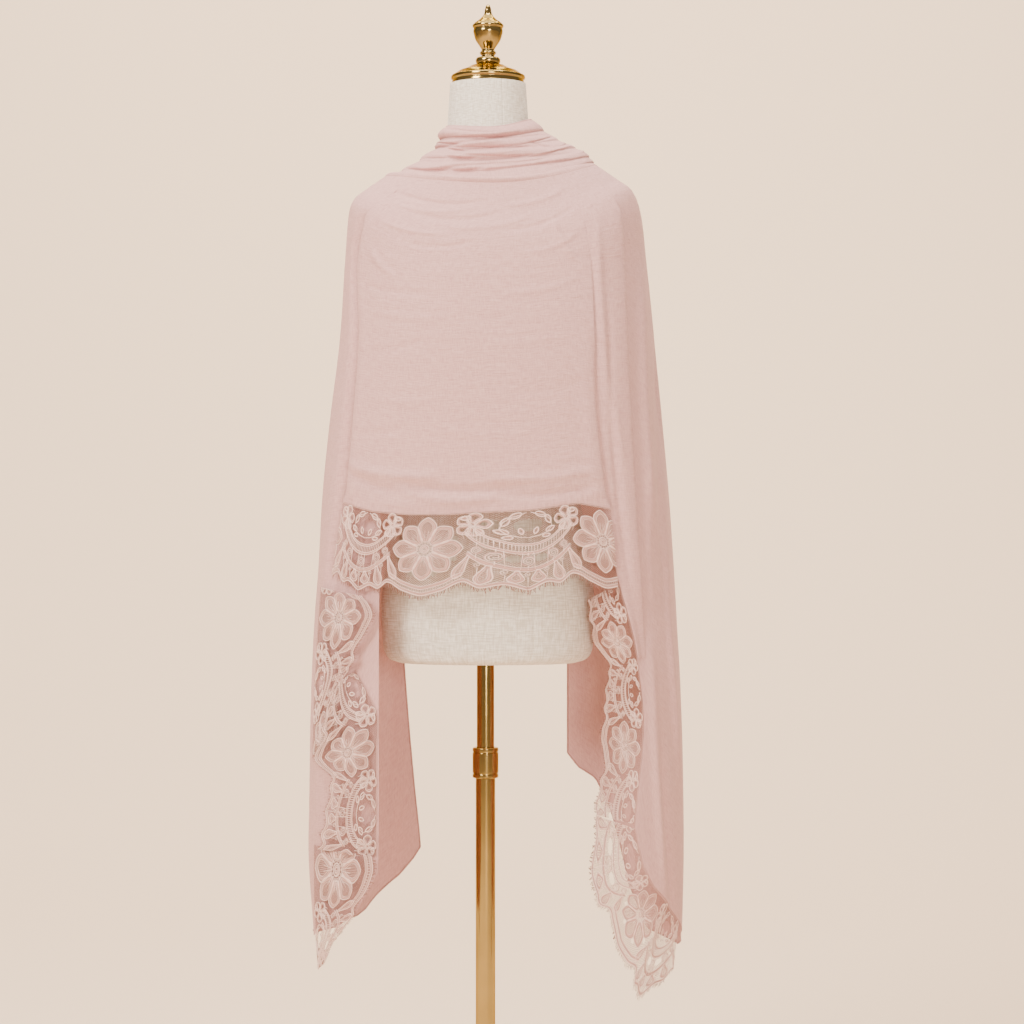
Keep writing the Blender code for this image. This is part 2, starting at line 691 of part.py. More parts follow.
def lace_openings(length, flower, margin=0.005):
    """The gaps of the whole repeats and of the part repeats that the stretch holds."""
    found = []
    for number in range(-2, 4):
        for gap in OPENINGS:
            middle = flower + number * REPEAT + gap.along
            reach = max(gap.length, gap.width) / 2 + margin
            if reach < middle < length - reach:
                turn = math.radians(gap.turn)
                cos, sin = math.cos(turn) / 2, math.sin(turn) / 2
                along = (gap.length * cos, gap.length * sin)
                over = (-gap.width * sin, gap.width * cos)
                found.append(
                    [
                        (middle + sx * along[0] + sy * over[0],
                         -gap.down + sx * along[1] + sy * over[1])
                        for sx, sy in ((1, 0), (0, 1), (-1, 0), (0, -1))
                    ]
                )
    return found


def lace(name, length, flower, point, material, collection, bends=0, stitches=()):
    """A stretch of lace: cut flat with its gaps, sliced so that it bends, then placed.
    bends is the number of lines along it on which it bends across."""
    curve = bpy.data.curves.new(name, "CURVE")
    curve.dimensions = "2D"
    curve.fill_mode = "BOTH"
    flat_spline(curve, lace_outline(length, flower, stitches))
    for gap in lace_openings(length, flower):
        flat_spline(curve, gap)
    helper = bpy.data.objects.new(name, curve)
    collection.objects.link(helper)
    graph = bpy.context.evaluated_depsgraph_get()
    mesh = bpy.data.meshes.new_from_object(helper.evaluated_get(graph))
    bpy.data.objects.remove(helper)
    flat = bmesh.new()
    flat.from_mesh(mesh)
    bmesh.ops.remove_doubles(flat, verts=flat.verts, dist=1e-6)
    slices = max(2, round(length / SLICE))
    cuts = [((length * k / slices, 0, 0), (1, 0, 0)) for k in range(1, slices)]
    across = [LACE_DROP * k / (bends + 1) for k in range(1, bends + 1)]
    cuts += [((0, -down, 0), (0, 1, 0)) for down in across]
    for place, normal in cuts:
        bmesh.ops.bisect_plane(
            flat,
            geom=[*flat.verts, *flat.edges, *flat.faces],
            plane_co=place,
            plane_no=normal,
            dist=0.0020,
        )
    for vertex in flat.verts:
        vertex.co = point(vertex.co.x, -vertex.co.y / LACE_DROP)
    flat.to_mesh(mesh)
    flat.free()
    mesh.shade_smooth()
    shape = add(name, mesh, material, collection)
    wall = shape.modifiers.new("Solidify", "SOLIDIFY")
    wall.thickness = LACE
    wall.offset = 0.0
    return shape


def build_lace(material, collection):
    width = CAPE[7].panel_right - CAPE[7].panel_left

    def front(along, share):
        across = along / width

        def place(row):
            left = turn_at(row, between(CAPE, "panel_left", row))
            right = turn_at(row, between(CAPE, "panel_right", row))
            return left + (right - left) * across

        height = straight(PANEL_HEM, across) - SEAM - LACE_DROP * share
        row = row_at(height, place(7.5))
        return cape(row, place(row))

    # The right tail's seam runs down the fold's edge, then the drape's, then its hem.
    edge = [fold_point(0.0, k / PANEL_ROWS) for k in range(PANEL_ROWS + 1)]
    drape = [right_drape_point(0.0, k / DRAPE_ROWS) for k in range(DRAPE_ROWS + 1)]
    edge = [point for point in edge if point.z > FOLD_FOOT - 0.001]
    edge += [point for point in drape if point.z < FOLD_FOOT - 0.030]
    edge.reverse()
    down_from = [(-row.seam_z, row.along) for row in RIGHT_UPPER]
    edge_stitches = [straight(down_from, -point.z) for point in reversed(edge)]

    def right_upper(along, share):
        height = straight([(row.along, row.seam_z) for row in RIGHT_UPPER], along)
        seam = Vector(
            [straight([(point.z, point[k]) for point in edge], height) for k in range(3)]
        )
        seam.x -= STITCH
        return free_point(RIGHT_UPPER, along, share, seam)

    hem = [right_drape_point(k / DRAPE_COLUMNS, 1.0) for k in range(DRAPE_COLUMNS + 1)]
    along_at = [(row.share, row.along) for row in RIGHT_LOWER]
    hem_stitches = [straight(along_at, k / DRAPE_COLUMNS) for k in range(1, 6)]

    def right_lower(along, share):
        place = straight([(row.along, row.share) for row in RIGHT_LOWER], along)
        at = place * DRAPE_COLUMNS
        seam = hem[int(at)].lerp(hem[int(at) + 1], at - int(at))
        seam.z -= STITCH
        seam.x -= STITCH
        return free_point(RIGHT_LOWER, along, share, seam)

    def left_upper(along, share):
        return laid_point(LEFT_UPPER, along, share, 0.0022, 0.0045)

    def left_middle(along, share):
        return laid_point(LEFT_MIDDLE, along, share, -0.0090, 0.0090)

    def left_lower(along, share):
        return laid_point(LEFT_LOWER, along, share, 0.0015, 0.0045)

    columns = [width * k / PANEL_COLUMNS for k in range(1, PANEL_COLUMNS)]
    lace("lace_front", width, 0.156, front, material, collection, stitches=columns)
    length = RIGHT_UPPER[-1].along
    lace("lace_right_upper", length, 0.275, right_upper, material, collection,
         stitches=edge_stitches)
    length = RIGHT_LOWER[-1].along
    lace("lace_right_lower", length, 0.130, right_lower, material, collection,
         stitches=hem_stitches)
    length = LEFT_UPPER[-1].along
    lace("lace_left_upper", length, 0.045, left_upper, material, collection, bends=1)
    length = LEFT_MIDDLE[-1].along
    lace("lace_left_middle", length, 0.117, left_middle, material, collection, bends=1)
    length = LEFT_LOWER[-1].along
    lace("lace_left_lower", length, 0.020, left_lower, material, collection, bends=1)


# ---------------------------------------------------------------- the whole
def main():
    for old in list(bpy.data.objects):
        bpy.data.objects.remove(old)
    collection = bpy.data.collections.new("lace_hijab_on_dress_form")
    bpy.context.scene.collection.children.link(collection)
    cutters = bpy.data.collections.new("cutters")
    bpy.context.scene.collection.children.link(cutters)
    brass = finish("brass", (0.62, 0.40, 0.13), 0.18, 1.0)
    linen = finish("linen", (0.80, 0.75, 0.68), 0.9)
    cloth = finish("woven_cloth", (0.72, 0.50, 0.47), 0.85)
    thread = finish("lace", (0.82, 0.62, 0.57), 0.7)
    stand(brass, collection)
    torso(linen, collection, cutters)
    fittings(brass, collection)
    build_cloth(cloth, collection)
    build_lace(thread, collection)


main()
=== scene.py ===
import functools
import math
import random

import bpy
import numpy as np
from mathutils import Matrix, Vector


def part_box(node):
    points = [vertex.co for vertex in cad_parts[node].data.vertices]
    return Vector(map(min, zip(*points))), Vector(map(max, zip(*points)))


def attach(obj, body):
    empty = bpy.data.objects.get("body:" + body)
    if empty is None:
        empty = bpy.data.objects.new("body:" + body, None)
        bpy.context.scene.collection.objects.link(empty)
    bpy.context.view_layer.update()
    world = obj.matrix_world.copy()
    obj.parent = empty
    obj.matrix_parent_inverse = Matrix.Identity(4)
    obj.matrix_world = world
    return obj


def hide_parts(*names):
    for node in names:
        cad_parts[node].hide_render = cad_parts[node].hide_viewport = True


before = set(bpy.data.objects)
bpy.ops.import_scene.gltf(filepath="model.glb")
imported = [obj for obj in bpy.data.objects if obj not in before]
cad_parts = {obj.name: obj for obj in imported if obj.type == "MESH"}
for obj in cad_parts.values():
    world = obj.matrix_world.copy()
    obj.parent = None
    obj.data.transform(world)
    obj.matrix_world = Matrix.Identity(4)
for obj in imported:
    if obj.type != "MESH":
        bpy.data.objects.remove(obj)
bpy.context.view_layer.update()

# ---- the studio
# A seamless sweep of warm beige paper behind and under the stand. One soft box lights it
# from the front left, a weaker one fills from the right, and two wash the paper.
MILLIMETRE = 0.001
PHOTO_SIDE = 1.41312  # how wide the picture is at the pole
CAMERA_AWAY = 3.6
CAMERA_ACROSS, CAMERA_HEIGHT = 0.03657, 0.93564
SENSOR = 36.0
# The paper stands well behind the object, so that it hides nothing from other sides.
PAPER_WIDTH, PAPER_BACK, PAPER_FRONT, PAPER_TOP = 18.0, 5.8, -9.0, 7.5
PAPER_BEND, BEND_STEPS = 3.4, 24

camera = bpy.data.cameras.new("camera")
camera.sensor_width = SENSOR
camera.lens = SENSOR * CAMERA_AWAY / PHOTO_SIDE
viewpoint = bpy.data.objects.new("camera", camera)
viewpoint.location = (CAMERA_ACROSS, -CAMERA_AWAY, CAMERA_HEIGHT)
viewpoint.rotation_euler = (math.radians(90), 0, 0)
bpy.context.scene.collection.objects.link(viewpoint)
bpy.context.scene.camera = viewpoint


def linear(hex_colour):
    """An sRGB hex colour as linear red, green, blue and alpha."""
    parts = [int(hex_colour[k : k + 2], 16) / 255 for k in (1, 3, 5)]
    return (*[p / 12.92 if p <= 0.04045 else ((p + 0.055) / 1.055) ** 2.4 for p in parts], 1.0)


def add_node(tree, kind, settings=None, links=None):
    """A node with its settings, by socket or property, and the sockets that feed it."""
    made = tree.nodes.new(kind)
    for name, value in (settings or {}).items():
        if isinstance(name, int) or name in made.inputs:
            made.inputs[name].default_value = value
        else:
            setattr(made, name, value)
    for name, source in (links or {}).items():
        tree.links.new(source, made.inputs[name])
    return made


def new_material(name, **settings):
    """A material and its node tree, with uniform values set on the shader's sockets."""
    material = bpy.data.materials.new(name)
    material.use_nodes = True
    shader = material.node_tree.nodes["Principled BSDF"]
    for socket, value in settings.items():
        shader.inputs[socket.replace("_", " ")].default_value = value
    return material, material.node_tree, shader


def add_object(name, mesh, material):
    made = bpy.data.objects.new(name, mesh)
    made.data.materials.append(material)
    bpy.context.scene.collection.objects.link(made)
    return made


paper, _, _ = new_material(
    "beige_background_paper", Base_Color=linear("#F6DFC4"), Roughness=0.95
)
paper_profile = [(PAPER_FRONT, 0.0)]
for step in range(BEND_STEPS + 1):
    angle = math.radians(90 * step / BEND_STEPS)
    paper_profile.append(
        (PAPER_BACK - PAPER_BEND * (1 - math.sin(angle)), PAPER_BEND * (1 - math.cos(angle)))
    )
paper_profile.append((PAPER_BACK, PAPER_TOP))
paper_mesh = bpy.data.meshes.new("backdrop")
paper_mesh.from_pydata(
    [(side * PAPER_WIDTH / 2, y, z) for y, z in paper_profile for side in (-1, 1)],
    [],
    [(2 * k, 2 * k + 1, 2 * k + 3, 2 * k + 2) for k in range(len(paper_profile) - 1)],
)
paper_mesh.shade_smooth()
backdrop = add_object("backdrop", paper_mesh, paper)


def soft_box(name, place, aim, width, height, watts, colour):
    lamp = bpy.data.lights.new(name, "AREA")
    lamp.shape = "RECTANGLE"
    lamp.size, lamp.size_y = width, height
    lamp.energy = watts
    lamp.color = linear(colour)[:3]
    made = bpy.data.objects.new(name, lamp)
    made.location = place
    made.rotation_euler = (Vector(aim) - Vector(place)).to_track_quat("-Z", "Y").to_euler()
    made.visible_camera = False
    bpy.context.scene.collection.objects.link(made)


soft_box("key", (-2.3, -2.9, 2.7), (0, 0, 1.0), 1.2, 1.2, 190, "#FFF3E6")
soft_box("fill", (0.9, -4.3, 1.1), (0, 0, 0.8), 1.2, 1.2, 104, "#FFEFE0")
soft_box("top", (0, 0.6, 3.4), (0, 0.2, 0.8), 2.4, 1.6, 36, "#FFF4E8")
soft_box("backdrop_lamp", (0, 2.6, 5.4), (0, 5.8, 1.6), 7.0, 1.2, 520, "#FFF2E2")
soft_box("paper_wash", (0, -1.0, 4.2), (0, 2.0, 1.0), 4.0, 1.0, 225, "#FFF2E2")

world = bpy.data.worlds.new("studio_walls")
world.use_nodes = True
background = world.node_tree.nodes["Background"]
background.inputs["Color"].default_value = linear("#F2E4D6")
background.inputs["Strength"].default_value = 0.36
bpy.context.scene.world = world

# ---- the brass stand
# A round weighted base, a lower tube pressed into its socket, a thinner pole that slides
# in the tube, and a plain clamp collar. All are steel, plated with brass and lacquered,
# so they mirror the room with thin dark and bright stripes.
BASE_RADIUS, BASE_FLOOR, BASE_SOCKET_TOP = 0.160, 0.012, 0.048
TUBE_RADIUS, TUBE_TOP = 0.0135, 0.590
COLLAR_RADIUS, COLLAR_FOOT, COLLAR_TOP = 0.0179, 0.569, 0.611
POLE_RADIUS = 0.0120
FIT, SLIDING_FIT = 0.0003, 0.0004

brass, tree, shader = new_material("lacquered_brass_plate", Metallic=1.0)
shader.inputs["Specular Tint"].default_value = linear("#D2B98A")
place = add_node(tree, "ShaderNodeTexCoord")
tarnish = add_node(
    tree, "ShaderNodeTexNoise", {"Scale": 24.0, "Detail": 3.0}, {"Vector": place.outputs["Object"]}
)


def surface_finish(tree, shader, pattern, tones=None, relief=None):
    """What one pattern gives a surface: a colour between two tones, and a bump, whose
    relief is its strength and its depth in millimetres."""
    if tones:
        dark, light = map(linear, tones)
        tone = add_node(
            tree, "ShaderNodeMix", {"data_type": "RGBA", 6: dark, 7: light}, {"Factor": pattern}
        )
        tree.links.new(tone.outputs[2], shader.inputs["Base Color"])
    if relief:
        raised = add_node(
            tree, "ShaderNodeBump", {"Strength": relief[0], "Distance": relief[1] * MILLIMETRE},
            {"Height": pattern},
        )
        tree.links.new(raised.outputs["Normal"], shader.inputs["Normal"])
        return raised


surface_finish(tree, shader, tarnish.outputs["Fac"], ("#B59C62", "#98804B"))
rub = add_node(
    tree, "ShaderNodeMapRange", {"To Min": 0.10, "To Max": 0.19}, {"Value": tarnish.outputs["Fac"]}
)
tree.links.new(rub.outputs["Result"], shader.inputs["Roughness"])


def round_edges(made, width, sharpest):
    """A small round on the edges that turn by more than an angle in degrees."""
    rounding = made.modifiers.new("Bevel", "BEVEL")
    rounding.width = width
    rounding.segments = 2
    rounding.limit_method = "ANGLE"
    rounding.angle_limit = math.radians(sharpest)


def turned(name, node, body, profile, centre=0.0, segments=72, bevel=0.0006):
    """A turned brass piece from a profile of (radius, height), down its outside."""
    mesh = bpy.data.meshes.new(name)
    lines = [(k, k + 1) for k in range(len(profile) - 1)]
    mesh.from_pydata([(radius, 0.0, height) for radius, height in profile], lines, [])
    made = add_object(name, mesh, brass)
    made.location.x = centre
    screw = made.modifiers.new("Screw", "SCREW")
    screw.steps = screw.render_steps = segments
    screw.use_merge_vertices = True
    screw.merge_threshold = 0.1 * MILLIMETRE
    round_edges(made, bevel, 40)
    shade = made.modifiers.new("Normals", "WEIGHTED_NORMAL")
    shade.keep_sharp = True
    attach(made, body)
    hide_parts(node)


def smooth_rows(rows, at, column):
    """A column of a table at a fractional row, on a smooth curve through its rows."""
    last = len(rows) - 1
    at = min(max(at, 0.0), last)
    row = min(int(at), last - 1)
    t = at - row
    start, end = rows[row][column], rows[row + 1][column]
    before, after = rows[max(row - 1, 0)][column], rows[min(row + 2, last)][column]
    enter, leave = (end - before) / 2, (after - start) / 2
    return (
        (2 * t**3 - 3 * t * t + 1) * start
        + (t**3 - 2 * t * t + t) * enter
        + (3 * t * t - 2 * t**3) * end
        + (t**3 - t * t) * leave
    )


def rounded(points, steps=5):
    """A smooth profile through a few (radius, height) points of one turned bead."""
    count = (len(points) - 1) * steps + 1
    return [tuple(smooth_rows(points, k / steps, a) for a in (0, 1)) for k in range(count)]


def bead(radius, height, out, up, step=30):
    """The outer half of a small round bead, from its top to its foot."""
    return [
        (radius + out * math.sin(math.radians(a)), height + up * math.cos(math.radians(a)))
        for a in range(0, 181, step)
    ]


socket = TUBE_RADIUS + FIT
base_dish = rounded(
    [(0.0250, 0.0240), (0.0290, 0.0200), (0.0360, 0.0178), (0.0700, 0.0157), (0.1100, 0.0135),
     (0.1500, 0.0100), (0.1580, 0.0070)]
)
turned(
    "base", "base_plate", "base",
    [(0.0, BASE_FLOOR), (socket, BASE_FLOOR), (socket, BASE_SOCKET_TOP), (0.0210, BASE_SOCKET_TOP),
     (0.0235, 0.0455), *base_dish, (BASE_RADIUS, 0.0035), (BASE_RADIUS, 0.0), (0.0, 0.0)],
    segments=120,
)

bore = POLE_RADIUS + SLIDING_FIT
turned(
    "tube", "lower_tube", "base",
    [(bore, BASE_FLOOR + FIT), (bore, TUBE_TOP), (TUBE_RADIUS, TUBE_TOP),
     (TUBE_RADIUS, BASE_FLOOR + FIT), (bore, BASE_FLOOR + FIT)],
)

ledge = TUBE_TOP + FIT
EDGE, GROOVE_DEPTH = 0.0012, 0.0009
# A groove near each end of the collar: how far in from the end, and how deep.
groove = ((0.0050, 0.0), (0.0056, GROOVE_DEPTH), (0.0068, GROOVE_DEPTH), (0.0074, 0.0))
turned(
    "collar", "clamp_collar", "base",
    [(socket, COLLAR_FOOT), (socket, ledge), (bore, ledge), (bore, COLLAR_TOP),
     (COLLAR_RADIUS - EDGE, COLLAR_TOP), (COLLAR_RADIUS, COLLAR_TOP - EDGE),
     *[(COLLAR_RADIUS - deep, COLLAR_TOP - off) for off, deep in groove],
     (COLLAR_RADIUS, 0.5 * (COLLAR_FOOT + COLLAR_TOP)),
     *[(COLLAR_RADIUS - deep, COLLAR_FOOT + off) for off, deep in groove[::-1]],
     (COLLAR_RADIUS, COLLAR_FOOT + EDGE), (COLLAR_RADIUS - EDGE, COLLAR_FOOT),
     (socket, COLLAR_FOOT)],
    bevel=0.0003,
)

pole_low, pole_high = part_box("upper_pole")
turned(
    "pole", "upper_pole", "pole",
    [(0.0, pole_high.z), (POLE_RADIUS, pole_high.z), (POLE_RADIUS, pole_low.z), (0.0, pole_low.z)],
)

# ---- the linen form
# A moulded shell covered with unbleached linen, stretched tight and glued. The cover has
# a seam down each side of the front and back, and it is cut off flat over the cap's foot.
# The pole's end turns in a socket in the underside.
NECK_ACROSS, SOCKET_DEPTH = 0.0035, 0.060


def metres(rows, kept=()):
    """A table's lengths, from millimetres. The kept columns aren't lengths."""
    return [tuple(v if k in kept else v / 1000 for k, v in enumerate(row)) for row in rows]


FORM = metres([  # height, half the width, reach to the front, reach to the back, squareness
    (1526, 52.4, 50, 50, 2), (1470, 56, 54.5, 54.5, 2), (1448, 58, 57, 56, 2),
    (1428, 68, 62.5, 61, 2), (1408, 92, 69, 68, 2), (1390, 120, 75, 74, 2.1),
    (1372, 148, 82, 81, 2.2), (1352, 169, 90, 87, 2.3), (1320, 178, 103, 92, 2.3),
    (1250, 174, 121, 97, 2.3), (1160, 160, 130, 98, 2.3), (1070, 138, 114, 88, 2.3),
    (985, 125, 98, 82, 2.3), (900, 136, 98, 96, 2.3), (820, 146.5, 103, 106, 2.3),
    (760, 145.2, 103, 106, 2.3), (743, 142.5, 101, 104, 2.3), (733.5, 135.5, 96, 99, 2.3),
    (729, 122, 86, 89, 2.3),
], kept=(4,))
NECK_TOP, TORSO_FOOT = FORM[0][0], FORM[-1][0]
SEAM_TURNS = (-22.0, 22.0, -158.0, 158.0)
SEAM_DEPTH, SEAM_HALF_WIDTH = 0.0006, 0.9

linen, tree, shader = new_material("slubbed_linen", Roughness=0.92, Sheen_Weight=0.15)


def thread_noise(tree, stretch, detail, distortion=0.0):
    """The unevenness of threads: how many changes in a metre across, and down."""
    threads = add_node(tree, "ShaderNodeUVMap", {"uv_map": "threads"})
    run = add_node(
        tree, "ShaderNodeVectorMath", {"operation": "MULTIPLY", 1: (*stretch, 1)},
        {0: threads.outputs["UV"]},
    )
    return add_node(
        tree, "ShaderNodeTexNoise", {"Scale": 1.0, "Detail": detail, "Distortion": distortion},
        {"Vector": run.outputs[0]},
    ).outputs["Fac"]


def plain_weave(tree, run, threads, detail, joined, low, high):
    """Two sets of uneven threads that cross. run is how often one changes in a metre."""
    warp, weft = (thread_noise(tree, way, detail) for way in ((run, threads), (threads, run)))
    both = add_node(tree, "ShaderNodeMath", {"operation": joined}, {0: warp, 1: weft})
    return add_node(
        tree, "ShaderNodeMapRange", {"From Min": low, "From Max": high}, {"Value": both.outputs[0]}
    ).outputs["Result"]


# Linen threads are 0.6 mm apart. They are drawn 2 mm apart, so that the slubs show.
LINEN_THREADS, SLUBS = 520.0, 62.0
weave = plain_weave(tree, SLUBS, LINEN_THREADS, 2.0, "MULTIPLY", 0.16, 0.36)
surface_finish(tree, shader, weave, ("#D2C8B8", "#F4EEE4"), (0.5, 0.3))


def sin_cos(turn):
    """The sine and cosine of an angle in degrees."""
    return math.sin(math.radians(turn)), math.cos(math.radians(turn))


def signed_power(value, power):
    return math.copysign(abs(value) ** power, value)


def mesh_of_grid(name, points, closed=False, caps=False):
    """A mesh on rows of points, with a UV map in metres of cloth across and down."""
    rows, count = len(points), len(points[0])
    grid = np.array(points, float)
    across = np.linalg.norm(np.diff(grid, axis=1), axis=2).mean(axis=0)
    down = np.linalg.norm(np.diff(grid, axis=0), axis=2).mean(axis=1)
    u = np.concatenate([[0.0], np.cumsum(across)])
    v = np.concatenate([[0.0], np.cumsum(down)])
    around = count if closed else count - 1
    faces, corners = [], []
    if closed:
        u = np.append(u, u[-1] + np.linalg.norm(grid[:, 0] - grid[:, -1], axis=1).mean())
    for row in range(rows - 1):
        for k in range(around):
            after = (k + 1) % count
            faces.append(
                (row * count + k, (row + 1) * count + k, (row + 1) * count + after,
                 row * count + after)
            )
            corners += [(u[k], v[row]), (u[k], v[row + 1]), (u[k + 1], v[row + 1]),
                        (u[k + 1], v[row])]
    if caps:
        for row, order in ((0, 1), (rows - 1, -1)):
            ring = [row * count + k for k in range(count)][::order]
            faces.append(ring)
            corners += [tuple(grid[row, k % count, :2]) for k in range(count)][::order]
    mesh = bpy.data.meshes.new(name)
    mesh.from_pydata(grid.reshape(-1, 3).tolist(), [], faces)
    layer = mesh.uv_layers.new(name="threads")
    layer.data.foreach_set("uv", np.array(corners, np.float32).ravel())
    mesh.shade_smooth()
    return mesh


def form_ring(at, turns):
    half, front, back, square = (smooth_rows(FORM, at, column) for column in (1, 2, 3, 4))
    height = smooth_rows(FORM, at, 0)
    ring = []
    for turn in turns:
        side, ahead = sin_cos(turn)
        sunk = sum(
            SEAM_DEPTH * max(0.0, 1 - ((turn - seam) / SEAM_HALF_WIDTH) ** 2) for seam in SEAM_TURNS
        )
        reach = (front if ahead > 0 else back) - sunk
        ring.append(
            (NECK_ACROSS + half * signed_power(side, 2 / square),
             -reach * signed_power(ahead, 2 / square), height)
        )
    return ring


FORM_SIDES, FORM_STEPS = 96, 5
seam_offsets = (-SEAM_HALF_WIDTH, -0.4, 0.0, 0.4, SEAM_HALF_WIDTH)
form_turns = sorted(
    {-180 + 360 / FORM_SIDES * k for k in range(FORM_SIDES)}
    | {seam + offset for seam in SEAM_TURNS for offset in seam_offsets}
)
form_rings = [form_ring(k / FORM_STEPS, form_turns) for k in range((len(FORM) - 1) * FORM_STEPS + 1)]
for depth in (0.0, SOCKET_DEPTH):
    form_rings.append(
        [(bore * math.sin(math.radians(turn)), -bore * math.cos(math.radians(turn)),
          TORSO_FOOT + depth) for turn in form_turns]
    )
form = add_object("form", mesh_of_grid("form", form_rings, closed=True, caps=True), linen)
round_edges(form, 0.0008, 50)
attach(form, "form")
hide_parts("torso")

# ---- the cap and the finial
# A spun brass cap covers the top of the neck, with a stepped dome and a rolled rim. The
# finial is turned: a pedestal, a thin neck, an urn with a collar, and a drop on top.
CAP_TOP = 1.5525
cap_dome = rounded(
    [(0.0180, CAP_TOP), (0.0235, 1.5512), (0.0270, 1.5492), (0.0330, 1.5462), (0.0400, 1.5440),
     (0.0440, 1.5412), (0.0490, 1.5380)]
)
cap_foot = NECK_TOP + FIT
turned(
    "cap", "neck_cap", "form",
    [(0.0, CAP_TOP), *cap_dome, *bead(0.0498, 1.5350, 0.0014, 0.0026, 20), (0.0490, 1.5315),
     (0.0498, 1.5290), (0.0498, cap_foot), (0.0, cap_foot)],
    centre=NECK_ACROSS, segments=96, bevel=0.0004,
)

finial_foot = CAP_TOP + FIT
finial_drop = rounded(
    [(0.0, 1.6360), (0.0024, 1.6348), (0.0042, 1.6300), (0.0046, 1.6270), (0.0062, 1.6215),
     (0.0110, 1.6160), (0.0150, 1.6130), (0.0190, 1.6100)], steps=4
)
finial_urn = rounded(
    [(0.0196, 1.6030), (0.0205, 1.5990), (0.0196, 1.5945), (0.0170, 1.5865), (0.0118, 1.5785),
     (0.0090, 1.5742), (0.0087, 1.5728)], steps=4
)
finial_ring = bead(0.0200, 1.6062, 0.0016, 0.0024)
finial_bead = bead(0.0092, 1.5690, 0.0022, 0.0022)
turned(
    "finial", "finial", "form",
    [*finial_drop, *finial_ring, *finial_urn, *finial_bead, (0.0088, 1.5655), (0.0095, 1.5640),
     (0.0155, 1.5622), (0.0170, 1.5600), (0.0170, 1.5565), (0.0150, finial_foot),
     (0.0, finial_foot)],
    centre=NECK_ACROSS, segments=64, bevel=0.0002,
)

# ---- the woven scarf
# A rectangle of soft viscose gauze, woven in plain weave from uneven yarn and dyed old
# rose. It is laid over the front, thrown back over both shoulders, and its two ends hang
# as open tails. All its stretches lie on the one surface that CAPE describes.
MIDDLE, TUCK, CLOTH_THICKNESS = 0.0137, 0.0085, 0.0006
# Level sections of the cape, in millimetres: how far it reaches each way, how far it is
# lifted there, and where the edge of each stretch crosses the section.
CAPE_COLUMNS = (
    "height left right front back right_up front_up back_up square"
    " panel_left panel_right under_left seam_right fold_right back_left back_right"
).split()
CAPE = metres([
    (1397, -139, 154.5, 108, 99, 15, -20, 6, 2, -100, 102, -100, 102, 128, 3, 21),
    (1379, -165, 182, 122, 105, 14, -36, 6, 2.1, -125, 120, -125, 120, 156, -24, 40),
    (1365, -181, 203, 134, 109, 11, -48, -10, 2.2, -148, 130, -148, 130, 175, -50, 56),
    (1340, -188.5, 215, 142, 112, 0, -48, -20, 2.3, -164, 137, -164, 137, 187, -68, 74),
    (1270, -192, 221, 149, 115, 0, -25, -10, 2.4, -174.5, 143, -172, 140, 192.5, -88, 94),
    (1170, -198, 230, 154, 118, 0, 0, 0, 2.5, -172, 146.3, -160, 134, 195.8, -104, 108),
    (1060, -211.5, 241, 154, 122, 0, 0, 0, 2.5, -180, 153.5, -151, 141, 201.3, -112, 114),
    (950, -222.5, 251, 153, 127, 0, 0, 0, 2.5, -190.5, 166.8, -146.5, 160, 207.3, -116, 116),
    (850, -229.5, 258, 151, 131, 0, 0, 0, 2.5, -206, 177, -145.3, 179.3, 212.8, -118, 116),
    (750, -234.5, 265, 147, 133, 0, 0, 0, 2.5, -210, 180, -145.3, 204.7, 219.5, -118, 116),
    (650, -238, 270, 143, 133, 0, 0, 0, 2.5, -210, 180, -145.3, 215.4, 225, -112, 116),
    (550, -239.5, 272.5, 138, 131, 0, 0, 0, 2.5, -210, 180, -145.3, 206.8, 225, -103.5, 116),
    (450, -241, 273, 131, 127, 0, 0, 0, 2.5, -210, 180, -146, 198, 225, -94, 116),
    (350, -236, 270.5, 123, 120, 0, 0, 0, 2.5, -210, 180, -146, 198, 225, -94, 116),
    (250, -233, 267, 118, 115, 0, 0, 0, 2.5, -210, 180, -146, 198, 225, -94, 116),
], kept=(8,))
# The soft folds down the sides and the back: the turn, half the spread, and the height.
# They begin at one row of CAPE, and some rows further down they are full.
FOLDS_BEGIN, FOLDS_GROW = 2.0, 6.0
SIDE_FOLDS = [(-146, 13, 0.0090), (-125, 12, -0.0060), (-104, 13, 0.0080),
              (107, 13, 0.0090), (129, 13, -0.0070), (150, 13, 0.0100)]

# Viscose gauze is matt, and its loose fibres catch a faint sheen where the light grazes.
gauze, tree, shader = new_material("old_rose_gauze", Roughness=0.88, Sheen_Weight=0.22)
shader.inputs["Sheen Tint"].default_value = linear("#F3CFC8")
# The yarn is 0.5 mm apart. It is drawn 1.4 mm apart, so that its unevenness shows.
GAUZE_THREADS, YARN_RUN = 700.0, 90.0
weave = plain_weave(tree, YARN_RUN, GAUZE_THREADS, 2.5, "ADD", 0.70, 1.30)
crinkled = surface_finish(tree, shader, weave, ("#C59694", "#DAAEAB"), (0.55, 0.5))
# The crinkles of wear lie across the cloth: broad ones 16 mm apart, and fine ones 5 mm.
for stretch, depth, strength in (((12.0, 62.0), 3.0, 0.42), ((52.0, 190.0), 1.1, 0.55)):
    crinkled = add_node(
        tree, "ShaderNodeBump", {"Strength": strength, "Distance": depth * MILLIMETRE},
        {"Height": thread_noise(tree, stretch, 3.0, 0.7), "Normal": crinkled.outputs["Normal"]},
    )
tree.links.new(crinkled.outputs["Normal"], shader.inputs["Normal"])


def column(name, row):
    return smooth_rows(CAPE, row, CAPE_COLUMNS.index(name))


def ease(value):
    """0 to 1 with no corner at either end."""
    value = min(max(value, 0.0), 1.0)
    return value * value * (3 - 2 * value)


